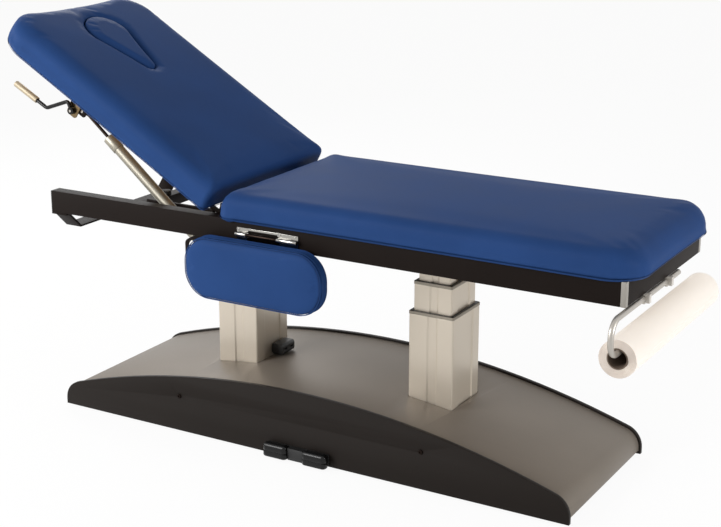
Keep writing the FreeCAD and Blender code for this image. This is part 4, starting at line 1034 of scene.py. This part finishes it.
# Nodes that are shown as they are, with a finish.
KEPT = {
    "actuator_tubes": turned_steel, "push_rods": turned_steel, "lift_motors": black_plastic,
    "pedal_shaft": turned_steel, "hinge_pins": turned_steel, "seat_board": birch_ply,
    "head_board": birch_ply, "arm_pad_board": birch_ply, "strut_cylinder": strut_silver,
    "strut_foot_pin": turned_steel, "strut_rod": blackened_steel, "strut_head_pin": turned_steel,
    "lever_pin": turned_steel, "release_lever": glossy_plastic, "arm_hinge_pin": bright_chrome,
    "paper_rod": satin_rod,
}


class TABLE_OT_rigid(bpy.types.Operator):
    """Round the edges of the rigid pieces and give every carried-over piece its finish"""
    bl_idname = "table.rigid"
    bl_label = "Frame, base and fittings"

    def execute(self, context):
        size = sizes()
        # Width and segments of the rounding, and the angle that shading takes for a hard edge.
        kinds = {"rail": (size.rail_round, 4, HARD_EDGE), "plate": (size.plate_round, 2, HARD_EDGE),
                 "panel": (1.6 * MM, 2, HARD_EDGE), "grip": (3 * MM, 4, HARD_EDGE),
                 "fine": (0.5 * MM, 2, GROOVE_EDGE)}
        for node, (kind, material) in RIGID.items():
            width, segments, angle = kinds[kind]
            softened(node, width, material(), segments, angle, "post_grey" if node == "rod_clips" else None)
        for word in ("up", "down"):
            self.pedal("pedal_" + word)
        for stage in ("outer", "middle"):
            self.glide_rings(stage)
        self.screws()
        self.hinge_frame()
        for node, material in KEPT.items():
            painted(flat(NODES[node].data), material())
        return {"FINISHED"}

    def pedal(self, node):
        """A rounded two-tier tread with a parting line round it, leaning back below its pivot."""
        low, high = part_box(node)
        deep, tall = (high.y - low.y) / 2, high.z - low.z
        dome, edge, lean, corners = 11 * MM, 0.8 * MM, 7 * MM, (13 * MM, 13 * MM)
        steps = [(3, 0), (0.8, 0.05), (0, 0.1), (0, 0.36), (1.6, 0.39), (2.6, 0.41), (1.6, 0.43),
                 (0.8, 0.46)]
        steps = [(inset * MM, share * tall) for inset, share in steps]
        steps += rounding(dome, tall - dome, inset=edge)
        pivot = JOINTS[node.replace("pedal_", "") + "_pedal_press"]["pos_m"][2] - low.z

        def placed_at(p, h):
            relief = lean * max(0, 1 - h / pivot) * max(0, p.y) / deep
            return Vector((p.x, (low.y + high.y) / 2 + p.y - relief, low.z + h))

        rings = [[placed_at(p, h) for p in outline(low.x, high.x, deep, corners, (0, 0, 0), inset, 8)]
                 for inset, h in steps]
        tread = piece(node + "_tread", flat(shell(rings)), glossy_plastic())
        attach(tread, body_of(node), slot_of(node), node)

    def screws(self):
        """Socket screws of the side panels and of the arm pad's hinge."""
        low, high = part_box("panel_screws")
        radius, mid = (high.z - low.z) / 2, (high.z + low.z) / 2
        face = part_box("side_panel_far")[1].y
        for side, word in ((-1, "near"), (1, "far")):
            places = [(end * (high.x - radius), side * face, mid) for end in (-1, 1)]
            nodes = ("panel_screws",) if side < 0 else ()
            fasteners(f"panel_screws_{word}", places, (0, side, 0), radius, high.y - face, "base",
                      "screw_dark", blackened_steel(), *nodes)
        low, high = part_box("arm_hinge_bracket")
        plate, drop, first, middle, last = 4 * MM, 5.5 * MM, 7 * MM, 60 * MM, 8 * MM
        front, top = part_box("rail_near")[0].y - plate, high.z - drop
        places = [(x, front, top) for x in (low.x + first, high.x - middle, high.x - last)]
        radius, height = 3.2 * MM, 1.6 * MM
        fasteners("arm_hinge_screws", places, (0, -1, 0), radius, height, "bed", "chrome", bright_chrome())

    def hinge_frame(self):
        """The arm pad's bracket with the window in its plate, through which the rail shows."""
        made = softened("arm_hinge_bracket", sizes().plate_round, bright_chrome())
        low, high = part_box("arm_hinge_bracket")
        leaf_low, leaf_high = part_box("arm_hinge_leaf")
        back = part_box("rail_near")[0].y
        rim, side, before, behind = 6 * MM, 2 * MM, 6 * MM, 2 * MM
        left, right, bottom, top = leaf_low.x + side, leaf_high.x - side, low.z + rim, high.z - rim
        corners = [(left, bottom), (right, bottom), (right, top), (left, top)]
        window = [[Vector((x, y, z)) for x, z in corners] for y in (back - before, back + behind)]
        made.data = flat(cut(made.data.copy(), window))

    def glide_rings(self, stage):
        """Thin black rings on one column stage's collars, round the tubes that pass through them."""
        inner = {"outer": "columns_middle", "middle": "columns_inner"}[stage]
        (_, wide), (_, tube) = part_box(stage + "_collars"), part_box(inner)
        centres = self.column_centres()
        play, edge, bevel, side, tall = 0.6 * MM, 1.5 * MM, 0.6 * MM, 0.8 * MM, 1.3 * MM
        half_x, half_y, corners = tube.x - centres[1] + play, tube.y + play, (5 * MM, 5 * MM)
        rim = wide.y - tube.y - edge - play
        section = ((rim, 0), (rim, side), (rim - bevel, tall), (0, tall), (0, 0))
        for number, centre in enumerate(centres):
            loops = [[Vector((centre + p.x, p.y, wide.z + lift)) for p in
                      outline(-half_x - out, half_x + out, half_y + out, corners, (0, 0, 0), 0, 5)]
                     for out, lift in section]
            name = f"{stage}_glide_ring_{number + 1}"
            ring = piece(name, flat(shell(loops, close=True)), black_plastic())
            attach(ring, body_of(stage + "_collars"), "box_black")

    def column_centres(self):
        """Places along X of the head and foot columns."""
        low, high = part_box("columns_outer")
        points = sorted(v.co.x for v in NODES["columns_outer"].data.vertices)
        gap = max(range(len(points) - 1), key=lambda i: points[i + 1] - points[i])
        return (low.x + points[gap]) / 2, (points[gap + 1] + high.x) / 2


# Each lamp's place and target in metres, its size and its power in watts.
LAMPS = {
    "key": ((-2.6, -4.2, 2.4), (0, 0, 0.5), 2.6, 190),
    "fill": ((4.2, -0.1, 1.35), (0.5, 0, 0.5), 1.2, 60),
    "back": ((-2.8, 2.4, 2.6), (-0.4, 0, 0.3), 2.4, 46),
    "side": ((-4.2, -1.0, 0.9), (0, 0, 0.35), 1.4, 36),
}
# The camera: focal length and width of the picture in pixels, sensor in millimetres, place in metres,
# and how far it looks down and is turned, in degrees.
FOCAL_PIXELS, WIDE_PIXELS, SENSOR = 1529.88, 721, 36
CAMERA_PLACE, CAMERA_DOWN, CAMERA_TURN = (2.2474, -3.7505, 1.8573), 16.84, 30.23
# Share of plain white in what is seen of the floor; the rest takes the table's shadow.
FLOOR_WHITE = 0.93


class TABLE_OT_stage(bpy.types.Operator):
    """Set the floor, the light and the camera"""
    bl_idname = "table.stage"
    bl_label = "Floor, light and camera"

    def execute(self, context):
        scene = context.scene
        scene.view_settings.view_transform = "Standard"
        self.floor()
        self.world(scene)
        for name, settings in LAMPS.items():
            self.lamp(name, *settings)
        camera = bpy.data.cameras.new("photograph")
        camera.sensor_fit, camera.sensor_width = "HORIZONTAL", SENSOR
        camera.lens = SENSOR * FOCAL_PIXELS / WIDE_PIXELS
        scene.camera = helper("photograph", camera)
        scene.camera.location = CAMERA_PLACE
        scene.camera.rotation_euler = (math.radians(90 - CAMERA_DOWN), 0, math.radians(CAMERA_TURN))
        return {"FINISHED"}

    def floor(self):
        mesh = bpy.data.meshes.new("floor")
        reach = 30
        mesh.from_pydata([(-reach, -reach, 0), (reach, -reach, 0), (reach, reach, 0), (-reach, reach, 0)], [],
                         [(0, 1, 2, 3)])
        paint = Paint("studio_floor")
        paint.set(Base_Color=tuple(colours().floor), Roughness=0.9, Specular_IOR_Level=0.1)
        self.whiten(paint.tree, paint.shader.outputs[0], FLOOR_WHITE)
        piece("floor", mesh, paint.material)

    def whiten(self, tree, shader, share):
        """Mixes plain white into what the camera sees, directly or in metal, so the ground stays pale."""
        rays, light = tree.nodes.new("ShaderNodeLightPath"), tree.nodes.new("ShaderNodeEmission")
        light.inputs["Color"].default_value, light.inputs["Strength"].default_value = (1, 1, 1, 1), 1
        part, mix = tree.nodes.new("ShaderNodeMath"), tree.nodes.new("ShaderNodeMixShader")
        part.operation = "MULTIPLY"
        part.inputs[1].default_value = share
        seen = rays.outputs["Is Camera Ray"]
        for kind in ("Is Glossy Ray", "Is Transmission Ray"):
            either = tree.nodes.new("ShaderNodeMath")
            either.operation = "MAXIMUM"
            tree.links.new(seen, either.inputs[0])
            tree.links.new(rays.outputs[kind], either.inputs[1])
            seen = either.outputs[0]
        tree.links.new(seen, part.inputs[0])
        tree.links.new(part.outputs[0], mix.inputs[0])
        tree.links.new(shader, mix.inputs[1])
        tree.links.new(light.outputs[0], mix.inputs[2])
        output = next(n for n in tree.nodes if n.type in ("OUTPUT_MATERIAL", "OUTPUT_WORLD"))
        tree.links.new(mix.outputs[0], output.inputs["Surface"])

    def world(self, scene):
        world = bpy.data.worlds.new("studio")
        scene.world = world
        world.use_nodes = True
        soft = next(n for n in world.node_tree.nodes if n.type == "BACKGROUND")
        soft.inputs["Color"].default_value = (1, 0.985, 0.965, 1)
        soft.inputs["Strength"].default_value = 0.4
        self.whiten(world.node_tree, soft.outputs[0], 1)

    def lamp(self, name, place, target, size, power):
        light = bpy.data.lights.new(name, "AREA")
        light.shape, light.size, light.energy = "DISK", size, power
        made = helper(name, light)
        made.location = place
        made.rotation_euler = (Vector(target) - Vector(place)).to_track_quat("-Z", "Y").to_euler()


class TABLE_PT_panel(bpy.types.Panel):
    """Lists the steps that dress the table"""
    bl_idname = "TABLE_PT_panel"
    bl_label = "Treatment table"
    bl_space_type = "VIEW_3D"
    bl_region_type = "UI"
    bl_category = "Table"

    def draw(self, context):
        for step in STEPS:
            self.layout.operator(step.bl_idname, text=step.bl_label)
        for group in (context.scene.table_sizes, context.scene.table_colours):
            box = self.layout.box()
            for name in group.__annotations__:
                box.prop(group, name)


STEPS = (TABLE_OT_stage, TABLE_OT_rigid, TABLE_OT_seat, TABLE_OT_head, TABLE_OT_arm_pad, TABLE_OT_paper)
CLASSES = (TableSizes, TableColours, *STEPS, TABLE_PT_panel)


def register():
    for item in CLASSES:
        bpy.utils.register_class(item)
    bpy.types.Scene.table_sizes = PointerProperty(type=TableSizes)
    bpy.types.Scene.table_colours = PointerProperty(type=TableColours)


def unregister():
    del bpy.types.Scene.table_colours
    del bpy.types.Scene.table_sizes
    for item in reversed(CLASSES):
        bpy.utils.unregister_class(item)


def main():
    register()
    for step in STEPS:
        group, name = step.bl_idname.split(".")
        getattr(getattr(bpy.ops, group), name)()


if __name__ == "__main__":
    main()
